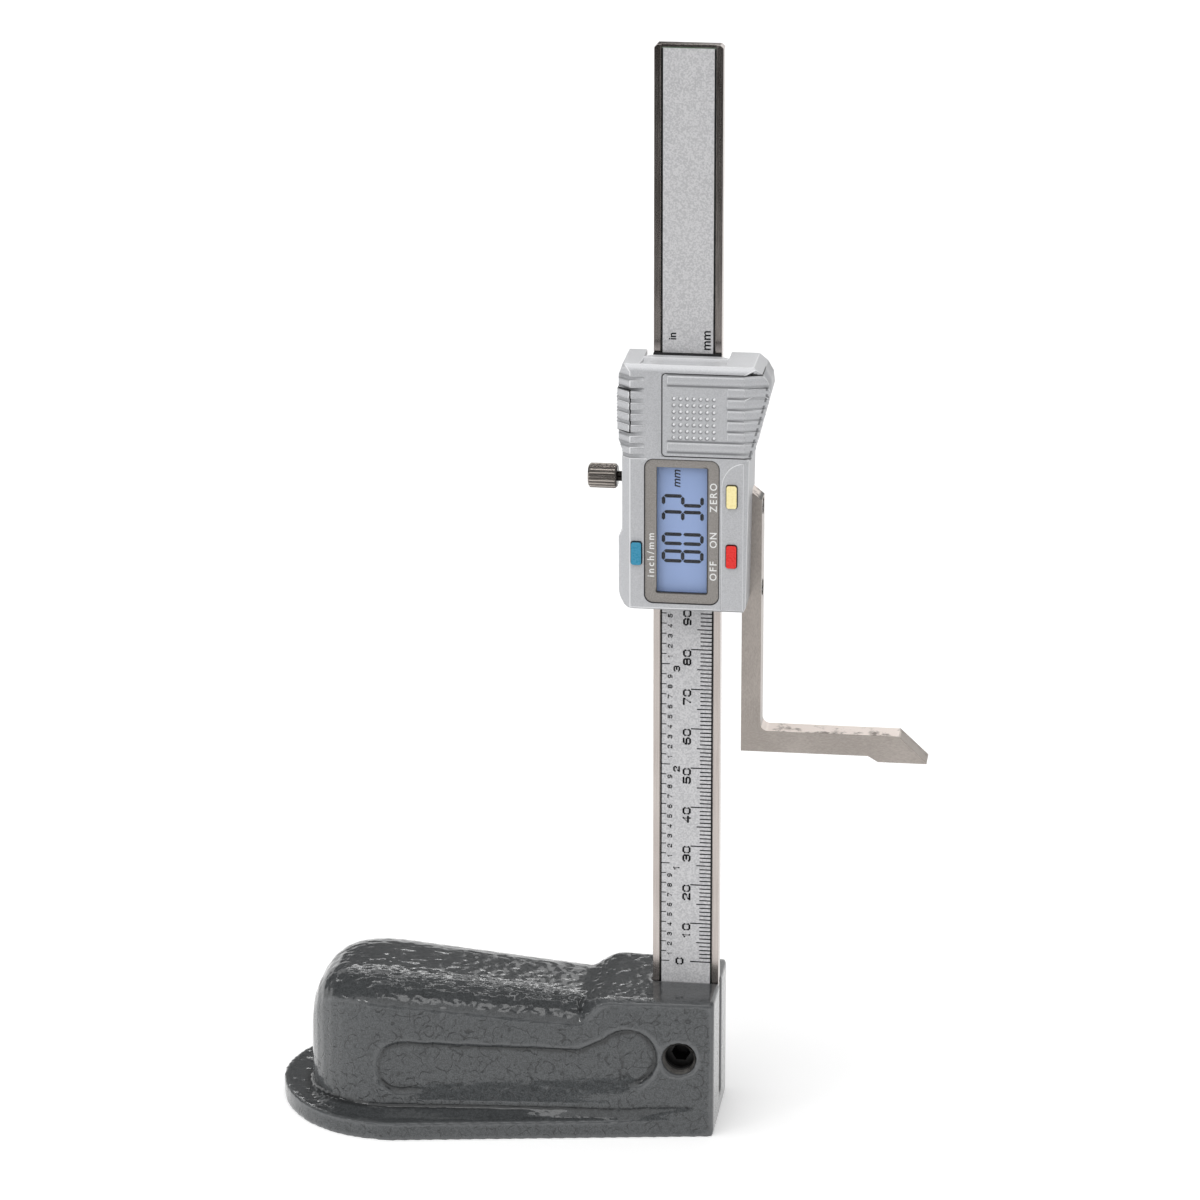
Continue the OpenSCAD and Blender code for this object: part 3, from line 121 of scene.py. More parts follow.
def merged_copy(node, name):
    """A copy of a CAD node's mesh with its loose triangles joined, as a new object."""
    piece = bpy.data.objects.new(name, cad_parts[node].data.copy())
    piece.data.materials.clear()
    scene.collection.objects.link(piece)
    shape = bmesh.new()
    shape.from_mesh(piece.data)
    bmesh.ops.remove_doubles(shape, verts=shape.verts, dist=MERGE_DISTANCE)
    shape.to_mesh(piece.data)
    shape.free()
    return piece


def set_modifier(piece, kind, **settings):
    modifier = piece.modifiers.new(kind.title(), kind)
    for key, value in settings.items():
        setattr(modifier, key, value)


def apply_modifiers(piece):
    """Turns what the modifiers make into the piece's own mesh."""
    shaped = piece.evaluated_get(bpy.context.evaluated_depsgraph_get())
    mesh = bpy.data.meshes.new_from_object(shaped)
    piece.modifiers.clear()
    old = piece.data
    piece.data = mesh
    bpy.data.meshes.remove(old)


def new_finish(name):
    """A material, its node tree and its shader, ready for the nodes of one finish."""
    finish = bpy.data.materials.new(name)
    finish.use_nodes = True
    return finish, finish.node_tree, finish.node_tree.nodes["Principled BSDF"]


def wire(tree, node, inputs):
    """Sets a node's inputs: a socket is linked, and anything else is a plain value."""
    for key, value in inputs.items():
        if isinstance(value, bpy.types.NodeSocket):
            tree.links.new(value, node.inputs[key])
        else:
            node.inputs[key].default_value = value
    return node


def put(tree, kind, inputs, **settings):
    """Adds a shader node with its settings and inputs."""
    node = tree.nodes.new("ShaderNode" + kind)
    for key, value in settings.items():
        setattr(node, key, value)
    return wire(tree, node, inputs)


def sums(tree, operation, first, second=0.0):
    return put(tree, "Math", {0: first, 1: second}, operation=operation).outputs[0]


def product(tree, *values):
    result = values[0]
    for value in values[1:]:
        result = sums(tree, "MULTIPLY", result, value)
    return result


def vectors(tree, operation, first, second=(0.0, 0.0, 0.0)):
    return put(tree, "VectorMath", {0: first, 1: second}, operation=operation).outputs[0]


def own_place(tree):
    return put(tree, "TexCoord", {}).outputs["Object"]


def axes(tree, output):
    """The X, Y and Z of a place on the piece (Object) or of the way its face looks (Normal)."""
    source = put(tree, "TexCoord", {}).outputs[output]
    return put(tree, "SeparateXYZ", {0: source}).outputs


def marked(tree, name):
    """The value of a mark that the mesh carries."""
    return put(tree, "Attribute", {}, attribute_name=name).outputs["Fac"]


def grain(tree, scale, detail, **more):
    """Cloudy noise from 0 to 1 in the piece's own coordinates, unless another vector is given."""
    inputs = {"Scale": scale, "Detail": detail, **more}
    if "Vector" not in inputs:
        inputs["Vector"] = own_place(tree)
    return put(tree, "TexNoise", inputs).outputs["Fac"]


def ramp(tree, value, low, high):
    """A smooth 0 to 1 mask of a value between two limits."""
    inputs = {"Value": value, "From Min": low, "From Max": high}
    return put(tree, "MapRange", inputs, interpolation_type="SMOOTHSTEP").outputs["Result"]


def spread(tree, value, low, high, start=0.0, end=1.0):
    """Maps a value evenly to a new range."""
    inputs = {"Value": value, "From Min": start, "From Max": end, "To Min": low, "To Max": high}
    return put(tree, "MapRange", inputs).outputs["Result"]


def blend_colour(tree, share, first, second):
    return put(tree, "Mix", {0: share, 6: first, 7: second}, data_type="RGBA").outputs[2]


def layers(tree, tone, *coats):
    """Lays colours over a tone one by one, each by its mask and its greatest share."""
    for mask, share, colour in coats:
        tone = blend_colour(tree, product(tree, mask, share), tone, colour)
    return tone


def bump(tree, *parts):
    """The normal of a surface that each mask raises by its height."""
    rise = 0.0
    for mask, height in parts:
        rise = sums(tree, "ADD", rise, product(tree, mask, height))
    return put(tree, "Bump", {"Height": rise, "Strength": 1.0, "Distance": 1.0}).outputs[0]


def install(piece, node, body, finish):
    """Sets a finished piece in the place of its CAD node."""
    piece.data.materials.append(finish)
    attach(piece, body)
    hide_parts(node)


def soft_step(value, low, high):
    """0 at the first limit, 1 at the second, and a smooth change between them."""
    share = min(max((value - low) / (high - low), 0.0), 1.0)
    return share * share * (3.0 - 2.0 * share)


def wrinkle_share(spot, normal):
    """How far the paint wrinkled at a place: fully on the upper faces, hardly on the flange."""
    upward = soft_step(normal.z, 0.05, 0.4)
    before_beam = soft_step(spot.x, *BEFORE_BEAM_X) * soft_step(spot.y, *BEFORE_BEAM_Y)
    on_flange = soft_step(spot.z, *FLANGE_Z)
    pooled = POOL_SHARE * soft_step(spot.x, *POOL_LEFT_X) * soft_step(spot.x, *POOL_RIGHT_X)
    flange_share = max(soft_step(spot.x, *NOSE_X), pooled)
    return upward * (1.0 - before_beam) * (1.0 - on_flange + on_flange * flange_share)


def wrinkle(spot):
    """Height of the wrinkles at a place, from -1 to about 1."""
    place = spot * WRINKLE_SCALE * (1.0 + BLOCK_SCALE * soft_step(spot.x, *BLOCK_X))
    return noise.noise(place) + FINE_SHARE * noise.noise(place * FINE_WRINKLE)


def levelled(mesh, rounds):
    """The mesh's points, each moved to the middle of its neighbours again and again."""
    spots = np.empty((len(mesh.vertices), 3), np.float32)
    mesh.vertices.foreach_get("co", spots.ravel())
    ends = np.empty((len(mesh.edges), 2), np.int32)
    mesh.edges.foreach_get("vertices", ends.ravel())
    links = np.bincount(ends.ravel(), minlength=len(spots)).reshape(-1, 1)
    for _ in range(rounds):
        around = np.zeros_like(spots)
        np.add.at(around, ends[:, 0], spots[ends[:, 1]])
        np.add.at(around, ends[:, 1], spots[ends[:, 0]])
        spots = around / links
    return spots


def mark_creases(mesh, rounds, full):
    """Stores how far each point stands out: below 0 in a hollow, above 0 on an edge."""
    spots = levelled(mesh, 0)
    normals = np.empty_like(spots)
    mesh.vertex_normals.foreach_get("vector", normals.ravel())
    stand = ((spots - levelled(mesh, rounds)) * normals).sum(axis=1) / full
    crease = mesh.attributes.new("crease", "FLOAT", "POINT")
    crease.data.foreach_set("value", np.clip(stand, -1.0, 1.0).astype(np.float32))


def ledge_share(spot):
    """1 along the panel's lower edge, where the paint ran together and left a soft slope."""
    band = soft_step(spot.z, *LEDGE_LOW_Z) * soft_step(spot.z, *LEDGE_HIGH_Z)
    along = soft_step(spot.x, *LEDGE_LEFT_X) * soft_step(spot.x, *LEDGE_RIGHT_X)
    return soft_step(spot.y, *LEDGE_Y) * band * along


base = merged_copy("base_casting", "painted_base")
set_modifier(base, "REMESH", mode="VOXEL", voxel_size=CAST_VOXEL, use_smooth_shade=True)
set_modifier(base, "SMOOTH", factor=0.5, iterations=CAST_SMOOTHING)
apply_modifiers(base)
folded = []
for vertex, soft_spot in zip(base.data.vertices, levelled(base.data, LEDGE_ROUNDS)):
    share = wrinkle_share(vertex.co, vertex.normal)
    lift = share * WRINKLE_HEIGHT * wrinkle(vertex.co) if share > 0.0 else 0.0
    spot = vertex.co.lerp(Vector(soft_spot), ledge_share(vertex.co))
    folded.append(spot + vertex.normal * lift)
for vertex, spot in zip(base.data.vertices, folded):
    vertex.co = spot
base.data.update()
mark_creases(base.data, CREASE_ROUNDS, CREASE_FULL)
underside = bmesh.new()
underside.from_mesh(base.data)
for face in underside.faces:
    face.smooth = True
lowest = min(vertex.co.z for vertex in underside.verts)
flat_faces = [face for face in underside.faces
              if face.normal.z < SOLE_FACING and face.calc_center_median().z < lowest + SOLE_SLACK]
sole = bmesh.ops.dissolve_faces(underside, faces=flat_faces)
for face in sole["region"]:
    face.smooth = False
underside.to_mesh(base.data)
underside.free()

paint, tree, shader = new_finish("wrinkle_paint")
upward = ramp(tree, axes(tree, "Normal")["Z"], 0.1, 0.5)
crease = marked(tree, "crease")
# The film's hair cracks are short arcs round the spots where it dried last.
place = own_place(tree)
sway = put(tree, "TexNoise", {"Vector": place, "Scale": 260.0, "Detail": 3.0}).outputs["Color"]
sway = vectors(tree, "MULTIPLY", vectors(tree, "SUBTRACT", sway, (0.5, 0.5, 0.5)), (CRACK_SWAY,) * 3)
moved = vectors(tree, "ADD", place, sway)
crack_cells = {"Vector": moved, "Scale": CRACK_SCALE}
cells, borders = [put(tree, "TexVoronoi", crack_cells, feature=kind).outputs["Distance"]
                  for kind in ("F1", "DISTANCE_TO_EDGE")]
broken = grain(tree, 420.0, 2.0)
ring = sums(tree, "ABSOLUTE", sums(tree, "SUBTRACT", cells, CRACK_RADIUS))
arcs = product(tree, ramp(tree, ring, 0.05, 0.012), ramp(tree, broken, 0.5, 0.6))
joins = product(tree, ramp(tree, borders, 0.04, 0.008), ramp(tree, broken, 0.52, 0.42))
crack = product(tree, sums(tree, "MAXIMUM", arcs, joins), sums(tree, "SUBTRACT", 1.0, upward))
# Fine grain all over, painted shade in the hollow spots and on upper faces, painted highlights on convex
# edges.
peel = grain(tree, 1100.0, 2.0)
speck = grain(tree, 3200.0, 2.0)
fold = product(tree, grain(tree, 700.0, 0.0, Distortion=0.4), upward)
tone = blend_colour(tree, ramp(tree, speck, 0.36, 0.64), PAINT_GREY, PAINT_LIGHT)
tone = layers(tree, tone, (ramp(tree, peel, 0.52, 0.32), 0.35, PAINT_DARK_AND_SHADE), (crack, 0.7, PAINT_DARK_AND_SHADE),
              (ramp(tree, crease, -0.12, -0.8), 0.75, PAINT_DARK_AND_SHADE),
              (ramp(tree, crease, 0.18, 0.9), 0.6, PAINT_HIGHLIGHT), (upward, 0.4, PAINT_DARK_AND_SHADE))
relief = bump(tree, (peel, 0.025 * mm), (crack, -0.06 * mm), (fold, 0.035 * mm))
wire(tree, shader, {"Base Color": tone, "Roughness": spread(tree, speck, 0.34, 0.5), "Normal": relief,
                    "Specular IOR Level": 0.2, "Coat Weight": 0.9, "Coat Roughness": 0.08,
                    "Coat Normal": relief})
install(base, "base_casting", "base", paint)

# Beam.
# A bar of stainless steel, ground along its length, with a milled groove for the scale
# and its corners broken by a stone. It stands in the block's slot.
FLAT_ANGLE = 0.6
SHARP_ANGLE = 30.0
NORMAL_WEIGHT = 50
BEAM_EDGE = 0.06 * mm
BEAM_ROUGH = 0.2
BEAM_SCRATCH = 0.003 * mm
STEEL_WARM = (0.46, 0.41, 0.385, 1.0)
STEEL_PALE = (0.57, 0.52, 0.49, 1.0)


def fill_rings(shape):
    """Splits each face that runs round an opening into triangles, so that nothing covers the opening."""
    for face in list(shape.faces):
        slits = [edge for edge in face.edges
                 if len(edge.link_loops) == 2 and edge.link_loops[0].face == edge.link_loops[1].face]
        if slits:
            rim = [edge for edge in set(face.edges) if edge not in slits]
            outward = face.normal.copy()
            bmesh.ops.delete(shape, geom=[face], context="FACES_ONLY")
            bmesh.ops.delete(shape, geom=list(set(slits)), context="EDGES")
            bmesh.ops.triangle_fill(shape, use_beauty=True, use_dissolve=False, edges=rim, normal=outward)
    bmesh.ops.recalc_face_normals(shape, faces=shape.faces)


def round_edges(shape, edges, width, segments=2, clamp=True):
    """Rounds edges of a bmesh and returns the new faces."""
    rounded = bmesh.ops.bevel(shape, geom=edges, offset=width, offset_type="OFFSET", segments=segments,
                              profile=0.5, affect="EDGES", clamp_overlap=clamp, material=-1)
    return rounded["faces"]


def dress(node, name, body, finish, width, segments=2, sharp=SHARP_ANGLE, keep=None, clamp=True):
    """Sets a copy of a CAD node with rounded edges in its place; the round faces carry an edge mark."""
    piece = merged_copy(node, name)
    shape = bmesh.new()
    shape.from_mesh(piece.data)
    mark = shape.faces.layers.float.new("edge")
    bmesh.ops.dissolve_limit(shape, angle_limit=math.radians(FLAT_ANGLE), verts=shape.verts,
                             edges=shape.edges)
    fill_rings(shape)
    corners = [edge for edge in shape.edges
               if len(edge.link_faces) == 2 and edge.calc_face_angle(0.0) > math.radians(sharp)
               and (keep is None or keep(edge))]
    for face in round_edges(shape, corners, width, segments, clamp):
        face[mark] = 1.0
    for face in shape.faces:
        face.smooth = True
    shape.to_mesh(piece.data)
    shape.free()
    set_modifier(piece, "WEIGHTED_NORMAL", keep_sharp=True, weight=NORMAL_WEIGHT)
    install(piece, node, body, finish)


def new_group(name, inputs, outputs):
    """A shader node group with its named inputs and its value outputs."""
    group = bpy.data.node_groups.new(name, "ShaderNodeTree")
    for label, kind in inputs:
        group.interface.new_socket(label, in_out="INPUT", socket_type="NodeSocket" + kind)
    for label in outputs:
        group.interface.new_socket(label, in_out="OUTPUT", socket_type="NodeSocketFloat")
    return group, group.nodes.new("NodeGroupInput").outputs, group.nodes.new("NodeGroupOutput")


# Ground lines: long thin scratches along one direction, with a slow change of tone.
lines_group, lines_in, lines_out = new_group("ground_lines", [("Along", "Vector"), ("Fineness", "Float")],
                                             ["Tone", "Height"])
stretched = put(lines_group, "Mapping", {"Vector": own_place(lines_group), "Scale": lines_in["Along"]})
fine_lines = grain(lines_group, lines_in["Fineness"], 3.0, Vector=stretched.outputs[0])
slow_change = grain(lines_group, 45.0, 2.0)
line_tone = product(lines_group, sums(lines_group, "ADD", fine_lines, slow_change), 0.5)
wire(lines_group, lines_out, {"Tone": line_tone, "Height": fine_lines})


def ground_lines(tree, along, fineness=4000.0):
    """Tone and height of ground lines; along gives their stretch on each axis."""
    lines = put(tree, "Group", {"Along": along, "Fineness": fineness}, node_tree=lines_group)
    return lines.outputs["Tone"], lines.outputs["Height"]


def ground_steel(name, along, dark, pale, rough, depth, wear=0.6):
    """Steel ground in one direction, paler where its edges are worn."""
    finish, tree, shader = new_finish(name)
    lines, height = ground_lines(tree, along)
    tone = blend_colour(tree, ramp(tree, lines, 0.36, 0.64), dark, pale)
    tone = layers(tree, tone, (marked(tree, "edge"), wear, pale))
    wire(tree, shader, {"Base Color": tone, "Metallic": 1.0, "Normal": bump(tree, (height, depth)),
                        "Roughness": spread(tree, lines, rough - 0.05, rough + 0.07, 0.3, 0.7)})
    return finish


beam_steel = ground_steel("beam_steel", (1.0, 1.0, 0.02), STEEL_WARM, STEEL_PALE, BEAM_ROUGH, BEAM_SCRATCH,
                          wear=0.0)
dress("beam", "ground_beam", "base", beam_steel, BEAM_EDGE)

# Beam clamp screw.
# A black oxide socket set screw, turned into a tapped hole in the block until it pins the beam's
# foot. The mouth of the hole shows its first turns of thread, bare of paint.
SCREW_EDGE = 0.35 * mm
THREAD_PITCH = 1.0 * mm
THREAD_TURNS = 4
THREAD_ROOT_R = 4.04 * mm
THREAD_CREST_R = 3.55 * mm
THREAD_PROFILE = ((0.0, THREAD_ROOT_R), (0.42, THREAD_CREST_R), (0.58, THREAD_CREST_R))
THREAD_SIDES = 40
HOLE_Z = 20.0 * mm
HOLE_MOUTH_Y = -15.05 * mm
HOLE_SHADE_Y = (HOLE_MOUTH_Y + 1.0 * mm, HOLE_MOUTH_Y + 3.0 * mm)
OXIDE_DARK = (0.002, 0.002, 0.002, 1.0)
OXIDE_PALE = (0.01, 0.0095, 0.009, 1.0)
IRON_DARK = (0.02, 0.019, 0.018, 1.0)
IRON_PALE = (0.12, 0.115, 0.108, 1.0)
HOLE_SHADE = (0.003, 0.003, 0.003, 1.0)


def grained(name, scale, detail, dark, pale, rough, depth=0.0, metal=0.0, specular=0.5):
    """A finish of one fine grain, which sets its tone, its gloss and a slight relief."""
    finish, tree, shader = new_finish(name)
    fine = grain(tree, scale, detail)
    wire(tree, shader, {"Base Color": blend_colour(tree, fine, dark, pale), "Metallic": metal,
                        "Roughness": spread(tree, fine, *rough), "Specular IOR Level": specular})
    if depth:
        wire(tree, shader, {"Normal": bump(tree, (fine, depth))})
    return finish


def top_coat(finish, mask, colour):
    """Lays a colour over a finish where a mask from its own tree is 1."""
    tree = finish.node_tree
    target = tree.nodes["Principled BSDF"].inputs["Base Color"]
    tree.links.new(blend_colour(tree, mask, target.links[0].from_socket, colour), target)


def show(mesh, name, finish):
    """Puts a mesh into the scene as an object of one finish."""
    mesh.materials.append(finish)
    piece = bpy.data.objects.new(name, mesh)
    scene.collection.objects.link(piece)
    return piece


def show_shape(shape, name, finish):
    """Puts a finished bmesh into the scene."""
    mesh = bpy.data.meshes.new(name)
    shape.to_mesh(mesh)
    shape.free()
    return show(mesh, name, finish)


black_oxide = grained("black_oxide", 900.0, 3.0, OXIDE_DARK, OXIDE_PALE, (0.3, 0.55), 0.02 * mm, metal=0.3)
dress("beam_set_screw", "clamp_screw", "base", black_oxide, SCREW_EDGE)

thread_iron = grained("thread_iron", 1500.0, 2.0, IRON_DARK, IRON_PALE, (0.25, 0.45), 0.02 * mm, metal=0.8)
tree = thread_iron.node_tree
# Deeper in the hole the thread is painted black as shade.
top_coat(thread_iron, ramp(tree, axes(tree, "Object")["Y"], *HOLE_SHADE_Y), HOLE_SHADE)
thread_shape = bmesh.new()
thread_line = [thread_shape.verts.new((radius, HOLE_MOUTH_Y + (turn + share) * THREAD_PITCH, HOLE_Z))
               for turn in range(THREAD_TURNS) for share, radius in THREAD_PROFILE]
thread_edges = [thread_shape.edges.new(pair) for pair in zip(thread_line, thread_line[1:])]
bmesh.ops.spin(thread_shape, geom=thread_line + thread_edges, cent=(0, 0, HOLE_Z), axis=(0, 1, 0),
               angle=2 * math.pi, steps=THREAD_SIDES, use_merge=True)
bmesh.ops.remove_doubles(thread_shape, verts=thread_shape.verts, dist=0.001 * mm)
bmesh.ops.recalc_face_normals(thread_shape, faces=thread_shape.faces)
bmesh.ops.reverse_faces(thread_shape, faces=thread_shape.faces)
hole_thread = show_shape(thread_shape, "hole_thread", thread_iron)
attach(hole_thread, "base")

# Scale.
# A printed metal foil glued over the stator strip in the beam's groove, with millimetres
# on the right, tenths of an inch on the left, and a black border line down each side.
label_low, label_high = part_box("scale_label")
LABEL_FACE = label_low.y
ZERO_Z = 40.0 * mm
FOIL_PALE = (0.64, 0.636, 0.646, 1.0)
FOIL_DARK = (0.47, 0.47, 0.482, 1.0)
INK_DARK = (0.002, 0.002, 0.003, 1.0)
INK_PALE = (0.008, 0.008, 0.01, 1.0)
PRINT_T = 0.02 * mm


def coat(finish, *nodes):
    """Gives a finish to CAD nodes that keep their own shape."""
    for node in nodes:
        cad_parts[node].data.materials.clear()
        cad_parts[node].data.materials.append(finish)


foil, tree, shader = new_finish("scale_foil")
sparkle = grain(tree, 2700.0, 1.0, Roughness=0.6)
tone = blend_colour(tree, ramp(tree, sparkle, 0.38, 0.62), FOIL_DARK, FOIL_PALE)
tone = layers(tree, tone, (grain(tree, 120.0, 2.0), 0.3, FOIL_PALE))
wire(tree, shader, {"Base Color": tone, "Metallic": 0.15, "Roughness": spread(tree, sparkle, 0.34, 0.56),
                    "Normal": bump(tree, (sparkle, 0.015 * mm))})
coat(foil, "scale_label")
ink = grained("printing_ink", 3000.0, 2.0, INK_DARK, INK_PALE, (0.6, 0.6), specular=0.2)


def bar(shape, low, high):
    """A thin box between two corners, added to a bmesh."""
    low, high = Vector(low), Vector(high)
    place = Matrix.Translation((low + high) / 2) @ Matrix.Diagonal((high - low).to_4d())
    bmesh.ops.create_cube(shape, size=1.0, matrix=place)


# Strokes of the printed numerals on a unit square, reading to the right.
STROKES = {
    "0": [[(0, .2), (0, .8), (.2, 1), (.8, 1), (1, .8), (1, .2), (.8, 0), (.2, 0), (0, .2)]],
    "1": [[(.2, .78), (.55, 1), (.55, 0)]],
    "2": [[(0, .8), (.2, 1), (.8, 1), (1, .83), (1, .66), (.85, .53), (.15, .22), (0, 0), (1, 0)]],
    "3": [[(0, .86), (.2, 1), (.8, 1), (1, .84), (1, .68), (.82, .53), (.35, .53)],
          [(.82, .53), (1, .38), (1, .18), (.8, 0), (.2, 0), (0, .14)]],
    "4": [[(.72, 0), (.72, 1), (0, .28), (1, .28)]],
    "5": [[(.95, 1), (.06, 1), (.03, .57), (.8, .57), (1, .42), (1, .17), (.8, 0), (.2, 0), (0, .14)]],
    "6": [[(.9, 1), (.28, 1), (0, .72), (0, .2), (.2, 0), (.8, 0), (1, .2), (1, .4), (.8, .57), (0, .57)]],
    "7": [[(0, 1), (1, 1), (1, .88), (.38, 0)]],
    "8": [[(.2, .53), (.03, .68), (.03, .84), (.2, 1), (.8, 1), (.97, .84), (.97, .68), (.8, .53), (1, .38),
           (1, .16), (.8, 0), (.2, 0), (0, .16), (0, .38), (.2, .53), (.8, .53)]],
    "9": [[(.1, 0), (.72, 0), (1, .28), (1, .8), (.8, 1), (.2, 1), (0, .8), (0, .6), (.2, .43), (1, .43)]],
}
DOT_SIDES = 10


def numeral(shape, text, foot_x, start_z, high, wide, pen, gap=0.0):
    """Strokes of a number that reads upwards along the beam, as thin bars joined by round dots."""
    middle_y = LABEL_FACE - PRINT_T / 2
    for digit in text:
        for stroke in STROKES[digit]:
            points = [Vector((foot_x - v * high, middle_y, start_z + u * wide)) for u, v in stroke]
            for first, last in zip(points, points[1:]):
                along = last - first
                turn = along.to_track_quat("Z", "Y").to_matrix().to_4x4()
                place = Matrix.Translation((first + last) / 2) @ turn
                place = place @ Matrix.Diagonal((pen, PRINT_T, along.length, 1.0))
                bmesh.ops.create_cube(shape, size=1.0, matrix=place)
            for point in points:
                place = Matrix.Translation(point) @ Matrix.Rotation(math.radians(90), 4, "X")
                bmesh.ops.create_cone(shape, cap_ends=True, segments=DOT_SIDES, radius1=pen / 2,
                                      radius2=pen / 2, depth=PRINT_T, matrix=place)
        start_z += wide + gap


BORDER_W = 0.32 * mm
BORDER_LAP = 0.3 * mm
MM_TICKS = 150
MM_TICK_REACH = {0: 4.9 * mm, 5: 3.45 * mm}
MM_TICK_SHORT = 2.68 * mm
MM_TICK_HALF = 0.145 * mm
MM_FOOT_X = 0.87 * mm
ZERO_FOOT_X = -0.75 * mm
MM_HIGH = 1.55 * mm
MM_WIDE = 1.45 * mm
MM_GAP = 0.7 * mm
MM_PEN = 0.47 * mm
MM_RISE = -0.02 * mm
INCH_TENTH = 2.54 * mm
INCH_TICKS = 59
INCH_TICK_LONG = 1.95 * mm
INCH_TICK_SHORT = 1.1 * mm
INCH_TICK_HALF = 0.11 * mm
# Numerals of the inches and their tenths: foot X, drop below the tick, height, width and pen.
TENTH_NUMERAL = [size * mm for size in (-3.54, 0.98, 0.89, 0.72, 0.26)]
INCH_NUMERAL = [size * mm for size in (-1.76, 1.72, 1.24, 1.13, 0.38)]

print_shape = bmesh.new()
face = (LABEL_FACE - PRINT_T, LABEL_FACE)
for edge, inner in ((label_low.x, label_low.x + BORDER_W), (label_high.x, label_high.x - BORDER_W)):
    bar(print_shape, (min(edge, inner), face[0], label_low.z), (max(edge, inner), face[1], label_high.z))
for step in range(MM_TICKS + 1):
    height = ZERO_Z + step * mm
    right = label_high.x - BORDER_LAP
    left = right - MM_TICK_REACH.get(step % 10, MM_TICK_SHORT)
    bar(print_shape, (left, face[0], height - MM_TICK_HALF), (right, face[1], height + MM_TICK_HALF))
    if step and step % 10 == 0:
        text = str(step)
        length = len(text) * MM_WIDE + (len(text) - 1) * MM_GAP
        start = height + MM_RISE - MM_PEN / 2 - length
        numeral(print_shape, text, MM_FOOT_X, start, MM_HIGH, MM_WIDE, MM_PEN, MM_GAP)
numeral(print_shape, "0", ZERO_FOOT_X, ZERO_Z - MM_WIDE / 2, MM_HIGH, MM_WIDE, MM_PEN)
for tenth in range(INCH_TICKS + 1):
    height = ZERO_Z + tenth * INCH_TENTH
    left = label_low.x + BORDER_LAP
    right = left + (INCH_TICK_SHORT if tenth % 10 else INCH_TICK_LONG)
    bar(print_shape, (left, face[0], height - INCH_TICK_HALF), (right, face[1], height + INCH_TICK_HALF))
    text = str(tenth % 10 or tenth // 10)
    foot, drop, high, wide, pen = TENTH_NUMERAL if tenth % 10 else INCH_NUMERAL
    if tenth:
        numeral(print_shape, text, foot, height - drop, high, wide, pen)
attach(show_shape(print_shape, "scale_print", ink), "base")
LETTER_STEPS = 3
UNIT_BOLD = 0.05 * mm


def lettering(name, words, size, foot_x, start_z, face_y, finish, body, slant=0.0, spacing=1.0, bold=0.0):
    """Words that read upwards along the beam, as a thin mesh lying on a face that looks to the front."""
    text = bpy.data.curves.new(name, "FONT")
    text.body = words
    text.size = size * mm
    text.shear = slant
    text.space_character = spacing
    text.offset = bold
    text.extrude = PRINT_T / 2
    text.resolution_u = LETTER_STEPS
    holder = bpy.data.objects.new(name + "_text", text)
    scene.collection.objects.link(holder)
    bpy.context.view_layer.update()
    mesh = bpy.data.meshes.new_from_object(holder.evaluated_get(bpy.context.evaluated_depsgraph_get()))
    bpy.data.objects.remove(holder)
    mesh.transform(Matrix(((0, -1, 0, foot_x * mm), (0, 0, -1, face_y - PRINT_T / 2),
                           (1, 0, 0, start_z * mm), (0, 0, 0, 1))))
    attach(show(mesh, name, finish), body)


# Each unit's name, word, size, foot X and start Z.
for name, words, size, foot, start in (("inch_unit_print", "in", 2.6, -2.8, 195.9),
                                       ("millimetre_unit_print", "mm", 3.15, 5.3, 193.6)):
    lettering(name, words, size, foot, start, LABEL_FACE, ink, "base", bold=UNIT_BOLD)

# Stator strip.
# A thin strip of glass epoxy with copper fields under the foil, glued to the bottom of the groove.
# The board in the head reads its place from these fields.
EPOXY_DARK = (0.012, 0.07, 0.03, 1.0)
EPOXY_GREEN = (0.02, 0.1, 0.045, 1.0)
EPOXY_PALE = (0.05, 0.16, 0.07, 1.0)
FIELD_SCALE = 260.0
board_finish, tree, shader = new_finish("epoxy_board")
fields = put(tree, "TexBrick", {"Vector": own_place(tree), "Scale": FIELD_SCALE, "Color1": EPOXY_DARK,
                                "Color2": EPOXY_GREEN, "Mortar": EPOXY_PALE})
wire(tree, shader, {"Base Color": fields.outputs["Color"], "Roughness": 0.4,
                    "Normal": bump(tree, (grain(tree, 2500.0, 2.0), 0.01 * mm))})
coat(board_finish, "stator_strip", "main_board")

# Slide.
# A milled steel frame with two rails and two cross bars, closed by a ground back plate, so that
# it wraps the beam. A bronze gib strip, set by two grub screws, takes up the play.
SLIDE_EDGE = 0.15 * mm
PLATE_EDGE = 0.2 * mm
SMALL_SCREW_EDGE = 0.07 * mm
TURNED_DARK = (0.2, 0.2, 0.2, 1.0)
TURNED_PALE = (0.42, 0.41, 0.4, 1.0)
BRONZE_DARK = (0.36, 0.22, 0.07, 1.0)
BRONZE_PALE = (0.62, 0.42, 0.17, 1.0)
slide_steel = ground_steel("slide_steel", (0.05, 1.0, 1.0), STEEL_WARM, STEEL_PALE, 0.3, 0.005 * mm)
dress("slider_frame", "milled_slide", "slider", slide_steel, SLIDE_EDGE)
dress("back_plate", "ground_back_plate", "slider", slide_steel, PLATE_EDGE)
turned_steel = ground_steel("turned_steel", (1.0, 1.0, 1.0), TURNED_DARK, TURNED_PALE, 0.3, 0.004 * mm)
for node, name in (("back_plate_screws", "plate_screws"), ("housing_screws", "long_housing_screws"),
                   ("gib_screws", "grub_screws"), ("main_board_screws", "board_screws")):
    dress(node, name, "slider", turned_steel, SMALL_SCREW_EDGE)
bronze, tree, shader = new_finish("rolled_bronze")
rolled, _ = ground_lines(tree, (1.0, 1.0, 0.03))
wire(tree, shader, {"Base Color": blend_colour(tree, rolled, BRONZE_DARK, BRONZE_PALE), "Metallic": 1.0,
                    "Roughness": 0.35})
coat(bronze, "gib_strip", "battery_contact_positive", "battery_contact_negative", "port_contacts")

